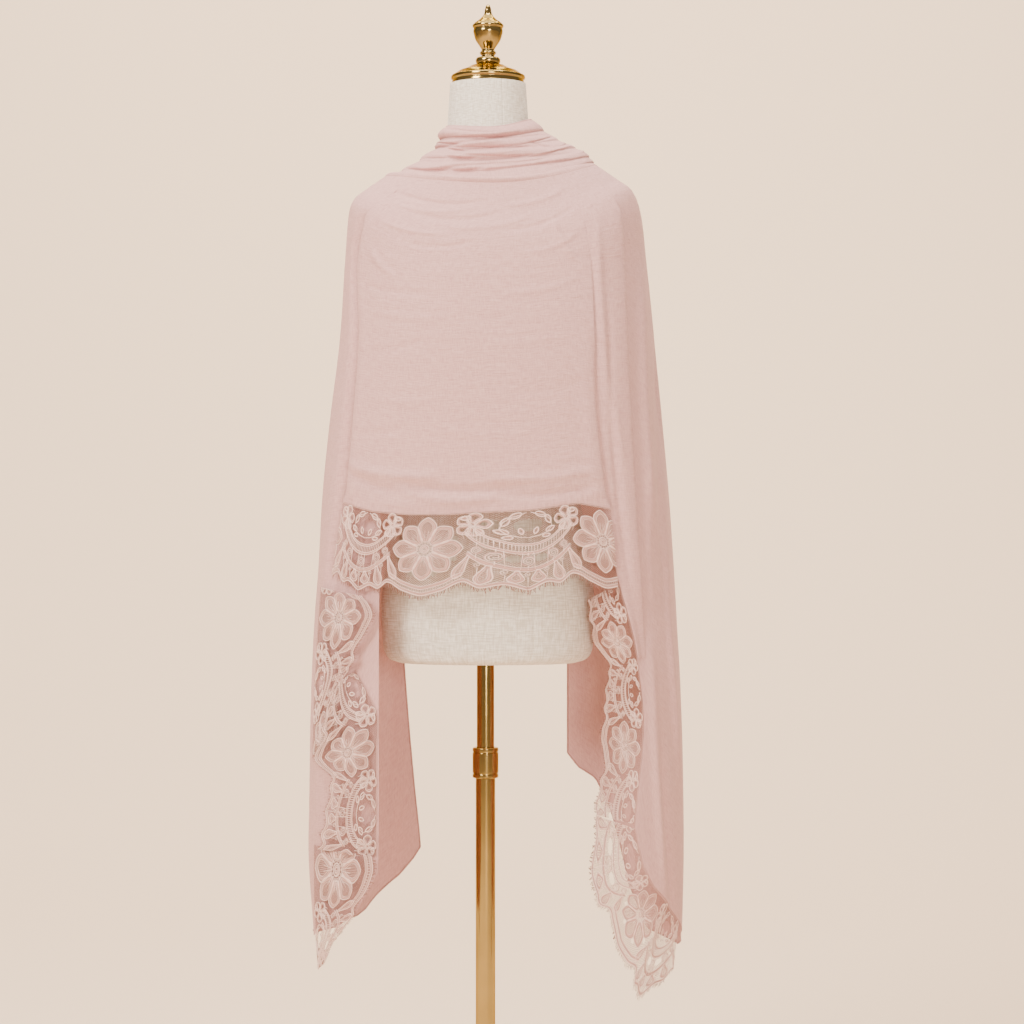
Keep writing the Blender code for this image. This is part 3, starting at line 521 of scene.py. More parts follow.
def straight(rows, at):
    """The second value of a short list by its first, on straight runs."""
    for low, high in zip(rows, rows[1:]):
        if at <= high[0]:
            return low[1] + (high[1] - low[1]) * (at - low[0]) / (high[0] - low[0])
    return rows[-1][1]


remembered = functools.lru_cache(maxsize=None)


@remembered
def section(row):
    """What cape needs of one level section."""
    return {name: column(name, row) for name in CAPE_COLUMNS}


def cape(row, turn, out=0.0):
    """A point of the cape. turn is in degrees from the front, positive to the right."""
    at = section(round(row, 4))
    side, ahead = sin_cos(turn)
    half = abs(at["right" if side > 0 else "left"] - MIDDLE)
    reach = at["front" if ahead > 0 else "back"]
    x, y = signed_power(side, 2 / at["square"]), -signed_power(ahead, 2 / at["square"])
    z = at["height"] + at["front_up" if ahead > 0 else "back_up"] * ahead**2
    if side > 0:
        z += at["right_up"] * side**2
    slope = Vector(
        (signed_power(x, at["square"] - 1) / half, signed_power(y, at["square"] - 1) / reach, 0.0)
    ).normalized()
    swell = 0.0
    for fold_turn, spread, height in SIDE_FOLDS:
        swell += height * max(0.0, 1 - ((turn - fold_turn) / spread) ** 2) ** 2
    out += swell * ease((row - FOLDS_BEGIN) / FOLDS_GROW)
    return Vector((MIDDLE + half * x, reach * y, z)) + slope * out


def turn_at(row, x, behind=False):
    """The turn at which the cape's section passes x, at the front or behind."""
    half = abs(column("right" if x > MIDDLE else "left", row) - MIDDLE)
    share = min(abs(x - MIDDLE) / half, 1.0) ** (column("square", row) / 2)
    turn = math.degrees(math.asin(share))
    return math.copysign(180 - turn if behind else turn, x - MIDDLE)


HALVINGS = 18


def row_at(height, turn):
    """The fractional row of the cape that has this height at this turn."""
    low, high = 0.0, len(CAPE) - 1.0
    for _ in range(HALVINGS):
        halfway = (low + high) / 2
        if cape(halfway, turn).z > height:
            low = halfway
        else:
            high = halfway
    return (low + high) / 2


PAST_END, FADE = 0.1, 0.35


def crease_height(creases, x, z):
    """How far the creases lift the cloth at a place. Each is a bowed line with two ends:
    where it starts and ends across and up, how far it sags, half its width, its height."""
    found = 0.0
    for x0, z0, x1, z1, sag, width, height in creases:
        dx, dz = x1 - x0, z1 - z0
        length = math.hypot(dx, dz)
        along = ((x - x0) * dx + (z - z0) * dz) / length**2
        if -PAST_END < along < 1 + PAST_END:
            off = ((x - x0) * -dz + (z - z0) * dx) / length
            off += math.copysign(sag, dx) * 4 * along * (1 - along)
            if abs(off) < 2.5 * width:
                ends = ease((along + PAST_END) / FADE) * ease((1 + PAST_END - along) / FADE)
                found += height * ends * math.exp(-((off / width) ** 2))
    return found


def cloth_wall(name, points, closed=False):
    made = add_object(name, mesh_of_grid(name, points, closed), gauze)
    wall = made.modifiers.new("Solidify", "SOLIDIFY")
    wall.thickness = CLOTH_THICKNESS
    wall.offset = 0.0
    # The cut edge is narrow, and its faces don't bend the light at the seams.
    shade = made.modifiers.new("Normals", "WEIGHTED_NORMAL")
    shade.weight = 95
    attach(made, "form")
    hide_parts(name)
    return made


# ---- the front panel
# The middle of the scarf, pulled smooth across the chest from the roll at the neck. Its
# lower edge is where the lace is sewn on, under a narrow turned hem that puckers a little.
PANEL_HEM = metres([
    (0, 950), (0.1, 943), (0.2, 937), (0.35, 933), (0.5, 933), (0.7, 939), (0.86, 948), (1, 940),
], kept=(0,))
PANEL_CREASES = metres([  # from across, up, to across, up, sag, half width, height
    (-130, 1372, 0, 1350, 12, 3.5, -2.2), (-125, 1352, -10, 1342, 10, 3, 1.6),
    (-100, 1335, 30, 1338, 12, 4, -1.8), (-140, 1328, -60, 1306, 6, 3, 1.5),
    (-60, 1318, 60, 1330, 10, 4, 1.4), (-110, 1296, -10, 1296, 8, 2.8, -1.4),
    (30, 1345, 110, 1372, 6, 4, 1.8), (20, 1310, 120, 1345, 10, 3.5, -1.4),
    (50, 1280, 125, 1310, 8, 3.5, 1.3), (90, 1330, 122, 1270, -4, 4, 2),
    (-155, 1290, -120, 1250, 4, 4, 1.6), (-160, 1240, -70, 1228, 6, 3.5, -1.2),
    (-150, 1205, -40, 1196, 7, 3, 1.1), (20, 1226, 125, 1248, 7, 3.5, 1.2),
    (-165, 1150, -80, 1164, 5, 3.5, -1.1), (0, 1160, 110, 1172, 6, 3, 1),
    (-165, 1095, -60, 1082, 6, 3.5, 1.2), (30, 1094, 140, 1112, 6, 3.5, -1.1),
    (-170, 1040, -90, 1052, 4, 3.5, -1.2), (-60, 1046, 60, 1040, 6, 4, 1.1),
    (-185, 1000, -60, 984, 8, 5, 4.2), (-180, 986, -110, 962, 4, 4, -3.6),
    (-120, 976, 60, 972, 10, 5, -3.6), (-100, 958, 20, 956, 6, 4, 3.6),
    (0, 982, 150, 994, 8, 4.5, 3), (20, 960, 155, 972, 6, 4, -3), (-150, 950, -40, 946, 4, 3, 1.6),
])
PUCKER, PUCKERS = 0.0008, 46
# The panel's side edges are turned back, and the cloth beside them stands a little proud.
PANEL_WIDTH, EDGE_WIDTH, EDGE_ROLL, EDGE_LIFT = 0.340, 0.008, 0.0080, 0.0018
LIFT_INWARDS, LIFT_WIDTH, LEFT_BEGINS, RIGHT_BEGINS = 0.018, 0.010, 2.6, 4.8
HEM_BEGINS, HEM_PRESSED, HEM_HEIGHT = 0.955, 0.97, 0.03


@remembered
def panel_turn(across, row):
    left, right = turn_at(row, column("panel_left", row)), turn_at(row, column("panel_right", row))
    return left + (right - left) * across


@remembered
def panel_foot(across):
    return row_at(straight(PANEL_HEM, across), panel_turn(across, 7.2))


def panel_point(across, down):
    row = panel_foot(across) * down
    turn = panel_turn(across, round(row, 3))
    flat = cape(row, turn)
    out = crease_height(PANEL_CREASES, flat.x, flat.z)
    out += PUCKER * ease((down - HEM_BEGINS) / HEM_HEIGHT) * math.sin(math.tau * PUCKERS * across)
    inwards = PANEL_WIDTH * min(across, 1 - across)
    turned_back = EDGE_ROLL * max(0.0, 1 - inwards / EDGE_WIDTH) ** 2
    lifted = EDGE_LIFT * math.exp(-(((inwards - LIFT_INWARDS) / LIFT_WIDTH) ** 2))
    free = ease((row - (LEFT_BEGINS if across < 0.5 else RIGHT_BEGINS)) / 1.5)
    out += (lifted - turned_back) * free * (1 - ease((down - HEM_PRESSED) / HEM_HEIGHT))
    return cape(row, turn, out * ease(row / 0.6))


def rows_of(point, columns, rows):
    return [
        [point(column / columns, row / rows) for column in range(columns + 1)]
        for row in range(rows + 1)
    ]


PANEL_COLUMNS, PANEL_ROWS = 120, 170
front_panel = cloth_wall("front_panel", rows_of(panel_point, PANEL_COLUMNS, PANEL_ROWS))

# ---- the right fold
# A narrow pleat between the front panel and the right tail. It dives behind the panel's
# edge, catches the light along its own edge, and runs out to a point below the hip.
FOLD_FOOT, FOOT_SINK = 0.7400, 0.0045
RIGHT_CREASES = metres([
    (150, 1330, 185, 1000, 8, 6, 3.7), (165, 1200, 198, 820, 6, 5, -3.7),
    (215, 1280, 232, 900, 5, 6, 5.1), (236, 1180, 252, 760, 4, 4.5, -4.4),
    (246, 920, 266, 560, 3, 4, 5.4), (226, 760, 246, 420, 4, 5.5, 4.8),
    (240, 640, 262, 350, 4, 5, -4.4), (205, 1120, 212, 860, 3, 4.5, -1.6),
    (222, 1000, 230, 800, 2, 4, 1.8),
])


FOLD_COLUMNS, FOLD_ROWS = 26, 150
fold_foot_row = row_at(FOLD_FOOT, 45.0)


def fold_point(across, down):
    row = fold_foot_row * down
    left = turn_at(row, column("seam_right", row))
    right = turn_at(row, column("fold_right", row))
    deep = TUCK - 0.0060 * ease((row - 7.4) / 1.2)
    tuck = deep * ease((row - 3.2) / 2.6) * max(0.0, 1 - across / 0.85) ** 2.2
    turn = left + (right - left) * across
    flat = cape(row, turn)
    sunk = FOOT_SINK * ease((down - 0.86) / 0.14) * ease(across / 0.5)
    edge_curl = max(0.0, 1 - 0.055 * (1 - across) / EDGE_WIDTH) ** 2
    sunk += 0.6 * EDGE_ROLL * edge_curl * ease((row - 2.4) / 1.5)
    return cape(row, turn, crease_height(RIGHT_CREASES, flat.x, flat.z) - tuck - sunk)


right_fold = cloth_wall("right_fold", rows_of(fold_point, FOLD_COLUMNS, FOLD_ROWS))

# ---- the two tails
# The two ends of the scarf go over the shoulders and hang behind the arms' place, each
# open towards the form. Their plain edges have a narrow hem, rolled by hand.
RIGHT_HEM = metres([
    (0, 514), (0.05, 459), (0.1, 431), (0.17, 410), (0.29, 377), (0.4, 358), (0.55, 332),
    (0.7, 350), (0.8, 410), (0.87, 510), (0.92, 556), (0.97, 572), (1, 592),
], kept=(0,))
LEFT_HEM = metres([
    (0, 458), (0.02, 443), (0.06, 419.5), (0.1, 404), (0.14, 389), (0.18, 373), (0.22, 366),
    (0.4, 356), (0.56, 352), (0.83, 375), (0.92, 400), (1, 452),
], kept=(0,))
TAIL_CREASES = metres([  # from a turn, a height, to a turn, a height, half width, height
    (-80, 1330, -86, 900, 3.5, 2.4), (-94, 1250, -98, 620, 3, -2.6),
    (-116, 1180, -112, 480, 3.5, 3), (-134, 1120, -136, 520, 3, -2.6),
    (-88, 840, -84, 420, 2.6, 2.6), (-150, 1000, -149, 560, 2.6, 2.4),
    (88, 1300, 92, 760, 3.4, 2.6), (99, 1180, 96, 520, 3, -2.8), (118, 1200, 120, 420, 3.4, 3),
    (139, 1100, 137, 500, 3, -2.6), (104, 800, 108, 360, 2.4, 2.6), (153, 1020, 155, 620, 2.4, 2.2),
    (83, 700, 86, 380, 2.2, -2), (-78, 700, -76, 420, 2.2, -1.6),
], kept=(0, 2, 4))
HEM_RADIUS, HEM_START = 0.0013, 12
DIVE_TURN = 9.0  # over how many degrees the left tail dives behind the front panel


def tail_crease(turn, height):
    found = 0.0
    for turn_0, height_0, turn_1, height_1, spread, lift in TAIL_CREASES:
        along = (height_0 - height) / (height_0 - height_1)
        if -0.15 < along < 1.15:
            off = (turn - turn_0 - (turn_1 - turn_0) * along) / spread
            ends = ease((along + 0.15) / 0.35) * ease((1.15 - along) / 0.35)
            found += lift * ends * math.exp(-off * off)
    return found


@remembered
def right_tail_turn(across, row):
    front = column("fold_right", row) - 0.012 * ease((row - 3.0) / 1.5)
    front += (column("seam_right", row) - front) * ease((row - 8.6) / 1.0)
    start, end = turn_at(row, front), turn_at(row, column("back_right", row), behind=True)
    return start + (end - start) * across


@remembered
def right_tail_foot(across):
    return row_at(straight(RIGHT_HEM, across), right_tail_turn(across, 11.0))


def right_tail_point(across, down):
    row = right_tail_foot(across) * down
    turn = right_tail_turn(across, round(row, 3))
    tuck = TUCK * ease((row - 1.5) / 2.5) * max(0.0, 1 - across / 0.36) ** 1.6
    tuck *= 1 - 0.55 * ease((row - 8.2) / 1.6)
    flat = cape(row, turn)
    crease = crease_height(RIGHT_CREASES, flat.x, flat.z) if turn < 86 else 0.0
    return cape(row, turn, crease + tail_crease(turn, flat.z) - tuck)


@remembered
def left_tail_turn(across, row):
    start = turn_at(row, column("back_left", row), behind=True)
    end = turn_at(row, column("under_left", row))
    return start + (end - start) * across


@remembered
def left_tail_foot(across):
    return row_at(straight(LEFT_HEM, across), left_tail_turn(across, 12.0))


def left_tail_point(across, down):
    row = left_tail_foot(across) * down
    turn = left_tail_turn(across, round(row, 3))
    behind = ease((turn - panel_turn(0.0, round(row, 3)) + DIVE_TURN) / DIVE_TURN)
    hanging = ease((row - 7.6) / 1.0)
    tuck = 1.7 * TUCK * behind * ease((row - 2.2) / 2.0) * (1 - hanging)
    tuck += 1.3 * TUCK * ease((across - 0.65) / 0.30) * hanging
    height = cape(row, turn).z
    return cape(row, turn, tail_crease(turn, height) - tuck)


rolled, tree, shader = new_material("rolled_gauze_hem", Roughness=0.85, Sheen_Weight=0.2)
hem_place = add_node(tree, "ShaderNodeTexCoord")
# The roll is whipped with a stitch every 2 mm.
whipping = add_node(
    tree, "ShaderNodeTexNoise", {"Scale": 520.0, "Detail": 1.0}, {"Vector": hem_place.outputs["Object"]}
)
surface_finish(tree, shader, whipping.outputs["Fac"], ("#A37470", "#C99C97"), (0.6, 0.4))


def rolled_hem(name, edge, material=rolled, radius=HEM_RADIUS):
    """A round roll along an edge of the cloth."""
    curve = bpy.data.curves.new(name, "CURVE")
    curve.dimensions = "3D"
    curve.bevel_depth = radius
    curve.bevel_resolution = 1
    curve.use_fill_caps = True
    spline = curve.splines.new("POLY")
    spline.points.add(len(edge) - 1)
    for point, place in zip(spline.points, edge):
        point.co = (*place, 1.0)
    made = add_object(name, curve, material)
    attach(made, "form")
    return made


TAIL_COLUMNS, TAIL_ROWS = 96, 190
tails = {}
for side, point in (("right", right_tail_point), ("left", left_tail_point)):
    grid = rows_of(point, TAIL_COLUMNS, TAIL_ROWS)
    drape = cloth_wall(f"{side}_drape", grid)
    plain_edge = [row[-1 if side == "right" else 0] for row in grid]
    plain_edge += (grid[-1][::-1] if side == "right" else grid[-1])[1 : TAIL_COLUMNS // 2]
    hem = rolled_hem(f"{side}_rolled_hem", plain_edge[HEM_START:])
    tails[side] = (drape, hem, grid)

# ---- the cowl
# The scarf's plain long edge, wound once round the neck and pushed down in soft rolls. It
# is gathered at the right into small pleats, and the end is tucked in.
COWL = metres([  # left reach and height, front, right, back, and the swell of the roll below
    (57.4, 1466, 57.2, 1458.5, 60, 1476, 55.8, 1474, 8.5),
    (64, 1449, 65, 1444, 76, 1460, 65, 1460, 7), (72, 1436, 73, 1429, 96, 1447, 74, 1446, 8),
    (96, 1419, 84, 1413, 117, 1436, 83, 1433, 7), (125, 1405, 95, 1394, 132, 1424, 92, 1419, 1.5),
    (152, 1397, 108, 1377, 141, 1413, 99, 1403, 0),
])
PLEATS = [  # small pleats on the rolls: turn, half spread, down, slope, half width, height
    (-30, 50, 0.10, 0.0010, 0.020, -0.0030), (-20, 60, 0.17, -0.0008, 0.018, 0.0022),
    (30, 60, 0.25, 0.0009, 0.016, -0.0026), (-55, 35, 0.33, 0.0014, 0.014, -0.0040),
    (-35, 30, 0.46, 0.0018, 0.014, -0.0042), (10, 50, 0.42, -0.0010, 0.016, 0.0024),
    (50, 40, 0.36, -0.0014, 0.014, -0.0028), (-10, 60, 0.56, 0.0010, 0.018, -0.0030),
    (45, 45, 0.58, -0.0016, 0.016, 0.0026), (75, 22, 0.50, -0.0022, 0.014, -0.0034),
    (82, 18, 0.66, -0.0024, 0.016, 0.0034), (-60, 40, 0.62, 0.0012, 0.018, 0.0028),
    (20, 60, 0.70, -0.0008, 0.018, -0.0022), (-100, 40, 0.30, 0.0010, 0.018, -0.0034),
    (-140, 50, 0.50, -0.0008, 0.020, 0.0030), (170, 60, 0.35, 0.0006, 0.020, -0.0032),
    (130, 45, 0.55, 0.0010, 0.020, 0.0030), (120, 40, 0.28, -0.0012, 0.018, -0.0030),
    (-170, 50, 0.68, 0.0007, 0.020, -0.0028), (-120, 45, 0.74, 0.0010, 0.022, 0.0022),
]


FOOT_LIP, COWL_FOOT, COWL_REACH = 0.0034, 0.1, 0.09
COWL_COLUMNS, COWL_LEVELS = 220, 90
# The creases between the rolls in front, as for the panel.
COWL_CREASES = metres([
    (-61, 1434, 48, 1450, -2.4, 2.4, -4.2), (-63, 1425.5, 101, 1434, -2.2, 2.4, -4.4),
    (-66, 1410, 118, 1424, -5.5, 2.6, -4.6), (-108, 1406, -39, 1402, 6.7, 2.6, -4.4),
    (-39, 1402, 118, 1420, -3.6, 2.2, -3.6), (-124, 1392.5, 126, 1415.5, 9, 2.6, -4),
    (-52, 1418, -12, 1413, 2, 1.8, -3.8), (-44, 1396, 4, 1401, 2.4, 2, -4),
    (-60, 1430, 30, 1441, 1, 3, 2.6), (-58, 1417, 60, 1428, -3, 3, 2.8),
    (-96, 1401, -20, 1408, 3, 2.8, 3), (10, 1406, 110, 1418, 1, 2.8, 2.4),
    (60, 1440, 98, 1429, -2, 2, -2.8),
])


def cowl_point(across, down):
    turn = -180 + 360 * across
    rolls = len(COWL) - 1
    at = min(down * rolls, rolls - 1e-6)
    side, ahead = sin_cos(turn)
    flank, facing = (4 if side > 0 else 0), (2 if ahead > 0 else 6)
    half, reach = smooth_rows(COWL, at, flank), smooth_rows(COWL, at, facing)
    z = smooth_rows(COWL, at, flank + 1) * side**2 + smooth_rows(COWL, at, facing + 1) * ahead**2
    roll = at % 1.0
    # The roll hangs over the crease below it: it is fullest just above that crease.
    swell = COWL[int(at)][8] * math.sin(math.pi * roll**1.35) ** 0.8
    swell *= 0.75 + 0.25 * math.cos(math.radians(turn + 60 + 40 * int(at)))
    for pleat_turn, spread, level, slope, width, height in PLEATS:
        off_turn = (turn - pleat_turn + 180) % 360 - 180
        if abs(off_turn) < spread:
            off = (down - level - slope * off_turn) / width
            swell += height * (1 - (off_turn / spread) ** 2) ** 2 * math.exp(-off * off)
    centre = NECK_ACROSS + (MIDDLE - NECK_ACROSS) * down**2
    if ahead > 0:
        swell += crease_height(COWL_CREASES, centre + half * side, z) * ease(ahead / 0.3)
    swell *= 1 - ease((down - 0.80) / 0.12)
    if down > 1 - COWL_FOOT:
        edge = cape(0.0, turn)
        uphill = (edge - cape(0.3, turn)).normalized()
        outwards = Vector((edge.x - MIDDLE, edge.y, 0.0)).normalized()
        off = outwards * uphill.z - Vector((0, 0, 1)) * uphill.dot(outwards)
        lip = FOOT_LIP * math.sin(math.pi * (1 - down) / COWL_FOOT) * ease((100 - abs(turn + 18)) / 75)
        lip *= 0.75 + 0.25 * math.cos(math.radians(4 * turn + 30))
        return edge + uphill * ((1 - down) * COWL_REACH) + off * lip
    return Vector((centre + (half + swell) * side, -(reach + swell) * ahead, z))


cowl_rows = [
    [cowl_point(k / COWL_COLUMNS, row / COWL_LEVELS) for k in range(COWL_COLUMNS)]
    for row in range(COWL_LEVELS + 1)
]
cowl = cloth_wall("cowl", cowl_rows, closed=True)
cowl_edge = rolled_hem("cowl_edge", [*cowl_rows[0], cowl_rows[0][0]], gauze, 0.0012)

# ---- the lace's pattern
# Corded lace, made on a loom as one long border: a thin net, clothwork for the petals'
# rims, and a thick shiny cord round every shape. One repeat holds a flower with eight
# petals and a swag with a ladder, a row of spirals and six tulips. All sizes here are in
# millimetres of flat lace: along from the flower, and down from the seam.
LACE_DROP, REPEAT, FLOWER_DOWN = 108.0, 183.0, 46.0
SWAG = REPEAT / 2
SCALLOPS = [(0.0, 1.00), (24.0, 0.93), (44.0, 0.84), (58.0, 0.93), (72.0, 0.90), (SWAG, 0.98)]
OPENINGS = [  # middle along and down, length, width, and the length's turn from level
    (SWAG, 20.0, 30.0, 16.0, 0), (SWAG - 30, 17.0, 18.0, 12.0, 35),
    (SWAG + 30, 17.0, 18.0, 12.0, -35), (SWAG - 13, 64.0, 14.0, 9.0, 12),
    (SWAG + 13, 64.0, 14.0, 9.0, -12),
] + [
    (32.5 * math.sin(math.radians(turn)), FLOWER_DOWN + 32.5 * math.cos(math.radians(turn)),
     13.0, 9.0, 90 - turn)
    for turn in (-22.5, 22.5, -67.5, 67.5, -112.5, 112.5)
]
THREADS = {  # how far each kind stands off the lace's middle, and half its thickness
    "net": (0.0, 0.12), "clothwork": (0.12, 0.28), "cord": (0.42, 0.55),
}
pattern = []


def thread(points, width, kind, closed=False):
    pattern.append((np.array(points, float), width, kind, closed))


def placed(points, centre, turn):
    """Points given as (sideways, outwards), turned from straight down about a centre."""
    sin, cos = sin_cos(turn)
    return [
        (centre[0] + out * sin + side * cos, centre[1] + out * cos - side * sin)
        for side, out in points
    ]


def petal(near, far, half, widest=0.62, steps=12, foot=0.24):
    """The contour of a petal, from its foot round its tip and back."""
    power = math.log(0.5) / math.log(widest)
    side = []
    for k in range(steps + 1):
        share = (1 - math.cos(math.pi * k / steps)) / 2
        width = foot * (1 - share) + (1 - 0.3 * foot) * math.sin(math.pi * share**power) ** 0.75
        side.append((half * width, near + (far - near) * share))
    return side[:-1] + [(-out_to, out) for out_to, out in side[::-1]]


def ellipse(middle, down, length, width, turn, steps=12):
    sin, cos = sin_cos(turn)
    found = []
    for k in range(steps):
        x, y = length / 2 * math.cos(math.tau * k / steps), width / 2 * math.sin(math.tau * k / steps)
        found.append((middle + x * cos - y * sin, down + x * sin + y * cos))
    return found


def circle(centre, radius, steps=12):
    return ellipse(*centre, 2 * radius, 2 * radius, 0, steps)


def spiral(centre, radius, turns, start, steps=9):
    """A cord that winds in to a centre. It starts at an angle in degrees."""
    count = round(abs(turns) * steps)
    found = []
    for k in range(count + 1):
        angle = math.radians(start) + math.tau * turns * k / count
        reach = radius * (1 - 0.82 * k / count)
        found.append((centre[0] + reach * math.cos(angle), centre[1] + reach * math.sin(angle)))
    return found


def hatch(shapes, turn, pitch, width, kind="net", step=7.0):
    """Parallel threads that fill the closed shapes, by the even-odd rule."""
    sin, cos = sin_cos(turn)
    edges = []
    for shape in shapes:
        flat = np.array(shape, float) @ np.array([[cos, -sin], [sin, cos]])
        edges.append(np.hstack([flat, np.roll(flat, -1, axis=0)]))
    edges = np.vstack(edges)
    low, high = edges[:, 1].min(), edges[:, 1].max()
    for level in np.arange(math.ceil(low / pitch) * pitch, high, pitch):
        hit = edges[(edges[:, 1] > level) != (edges[:, 3] > level)]
        share = (level - hit[:, 1]) / (hit[:, 3] - hit[:, 1])
        ends = np.sort(hit[:, 0] + share * (hit[:, 2] - hit[:, 0]))
        for start, end in zip(ends[::2], ends[1::2]):
            if end - start > 0.6:
                run = np.linspace(start, end, 2 + int((end - start) / step))
                flat = np.column_stack([run, np.full(len(run), level)])
                thread(flat @ np.array([[cos, sin], [-sin, cos]]), width, kind)


def draw_petal(centre, turn, near, far, half, rim, widest=0.62, steps=12, fill=1.5):
    """A petal: a shiny cord, a rim of clothwork inside it, and a fine ground in that."""
    thread(placed(petal(near, far, half, widest, steps), centre, turn), 1.25, "cord", True)
    band = petal(near + 0.6 * rim, far - 0.6 * rim, half - 0.5 * rim, widest, steps - 3)
    thread(placed(band, centre, turn), rim, "clothwork", True)
    if fill:
        inner = petal(near + 1.3 * rim, far - 1.1 * rim, half - rim, widest, steps - 3)
        thread(placed(inner, centre, turn), 0.55, "cord", True)
        hatch([placed(inner, centre, turn)], 90 - turn, fill, 0.8, "clothwork")


def draw_flower():
    centre = (0.0, FLOWER_DOWN)
    for k in range(8):
        draw_petal(centre, 45.0 * k, 9.5, 41.5 - 1.5 * (k % 2), 11.2, 4.4)
        for side in (-1.6, 1.6):
            vein = placed([(side * 0.5, 9.0), (side, 17.0), (side * 1.5, 24.0)], centre, 45.0 * k)
            thread(vein, 0.6, "cord")
        bar = placed([(0.0, 9.5), (0.0, 21.0)], centre, 45.0 * k + 22.5)
        thread(bar, 0.8, "cord")
    thread(circle(centre, 3.2), 3.4, "clothwork", True)
    thread(spiral(centre, 4.6, 2.2, 0), 0.9, "cord")
    thread(circle(centre, 5.6, 20), 1.4, "cord", True)
    for k in range(14):
        bead = placed([(0.0, 8.2)], centre, 360 * k / 14)[0]
        thread(circle(bead, 0.9, 6), 0.9, "cord", True)


def smooth_at(rows, along, column_wanted):
    """A column of a table by its first, on a smooth curve through its rows."""
    row = 0.0
    for k in range(len(rows) - 1):
        if along > rows[k][0]:
            row = k + min(1.0, (along - rows[k][0]) / (rows[k + 1][0] - rows[k][0]))
    return smooth_rows(rows, row, column_wanted)


def edge_down(along, inside=0.0):
    """How far down the scalloped edge lies at a place, less a margin."""
    place = abs((along + SWAG) % REPEAT - SWAG)
    return LACE_DROP * smooth_at(SCALLOPS, place, 1) - inside


def edge_line(start, end, inside, step=2.6):
    places = np.linspace(start, end, 2 + int((end - start) / step))
    return [(at, edge_down(at, inside)) for at in places]


def draw_edge():
    """Three bands along the scallops, and two more inside them with a ladder between."""
    for reach, inside, width, kind in (
        (SWAG, 0.0, 1.3, "cord"), (SWAG, 1.9, 2.8, "clothwork"), (SWAG, 3.8, 0.9, "cord"),
        (43, 8.2, 0.9, "cord"), (43, 10.2, 3.4, "clothwork"), (43, 12.2, 0.9, "cord"),
    ):
        thread(edge_line(-reach, reach, inside), width, kind)
    for at in np.arange(-42, 42.1, 2.8):
        thread([(at, edge_down(at, 4.0)), (at, edge_down(at, 8.0))], 0.6, "cord")


def swag_down(at, lowest, rise, reach, power):
    return lowest - rise * (abs(at - SWAG) / reach) ** power


def draw_swag():
    """The swag of one gap between two flowers."""
    lines = {
        "a": (46.0, 38.0, 50.0, 2.3), "b": (57.0, 34.0, 52.0, 2.1), "c": (79.0, 27.0, 47.0, 2.0),
    }

    def levels(at, names):
        return [swag_down(SWAG + at, *lines[name]) for name in names]

    def line(name, off, reach):
        return [(SWAG + at, levels(at, name)[0] + off) for at in np.linspace(-reach, reach, 22)]

    for name, body, reach in (("a", 2.4, 49.0), ("b", 3.0, 50.0), ("c", 5.2, 46.0)):
        thread(line(name, 0.0, reach), body, "clothwork")
        thread(line(name, -0.5 * body, reach), 0.9, "cord")
        thread(line(name, 0.5 * body, reach), 0.9, "cord")
    for at in np.arange(-42, 42.1, 3.0):
        high, low = levels(at, "ab")
        thread([(SWAG + at, high + 1), (SWAG + at * 0.985, low - 1)], 0.8, "cord")
    for at, radius in ((0.0, 6.4), (-25.5, 6.0), (25.5, 6.0), (-38.0, 4.6), (38.0, 4.6)):
        high, low = levels(at, "bc")
        middle = (SWAG + at, (high + low) / 2 - 0.3)
        thread(circle(middle, radius, 14), 1.2, "clothwork", True)
        thread(spiral(middle, radius, 2.2 if at < 0 else -2.2, 90, 10), 0.9, "cord")
        thread([(middle[0], high), (middle[0], middle[1] - radius)], 0.9, "cord")
        thread([(middle[0], low), (middle[0], middle[1] + radius)], 0.9, "cord")
    for at in (-13.0, 13.0):
        for lean in (-7.8, 7.8):
            high, low = levels(at + lean, "bc")
            thread([(SWAG + at + lean, high), (SWAG + at + lean * 0.8, low)], 0.8, "cord")
    for at, lean, half in ((-44, -24, 5.4), (-28, -14, 6.6), (-9.5, -5, 7.4), (9.5, 5, 7.4),
                           (28, 14, 6.6), (44, 24, 5.4)):
        top = levels(at, "c")[0] + 1.5
        tip = edge_down(SWAG + at + 0.25 * lean, 4.6)
        long = max(14.0, (tip - top) / math.cos(math.radians(lean)))
        draw_petal((SWAG + at, top), lean, 0.5, long, half, 3.2, 0.7, 9, 1.6)
    for at in (-36, -19, 0, 19, 36):
        top = levels(at, "c")[0] + 2.0
        thread(spiral((SWAG + at, top + 4.2), 3.4, 1.4, 90, 8), 0.9, "cord")
        thread([(SWAG + at, top + 7.5), (SWAG + at * 1.02, edge_down(SWAG + at, 4))], 0.7, "cord")


def draw_small_flower(centre, turn):
    for k in range(5):
        draw_petal(centre, turn + 72 * k, 3.0, 16.0, 6.2, 2.8, 0.66, 9, 0)
    thread(circle(centre, 2.0, 8), 1.6, "clothwork", True)
    thread(circle(centre, 3.0, 10), 0.9, "cord", True)


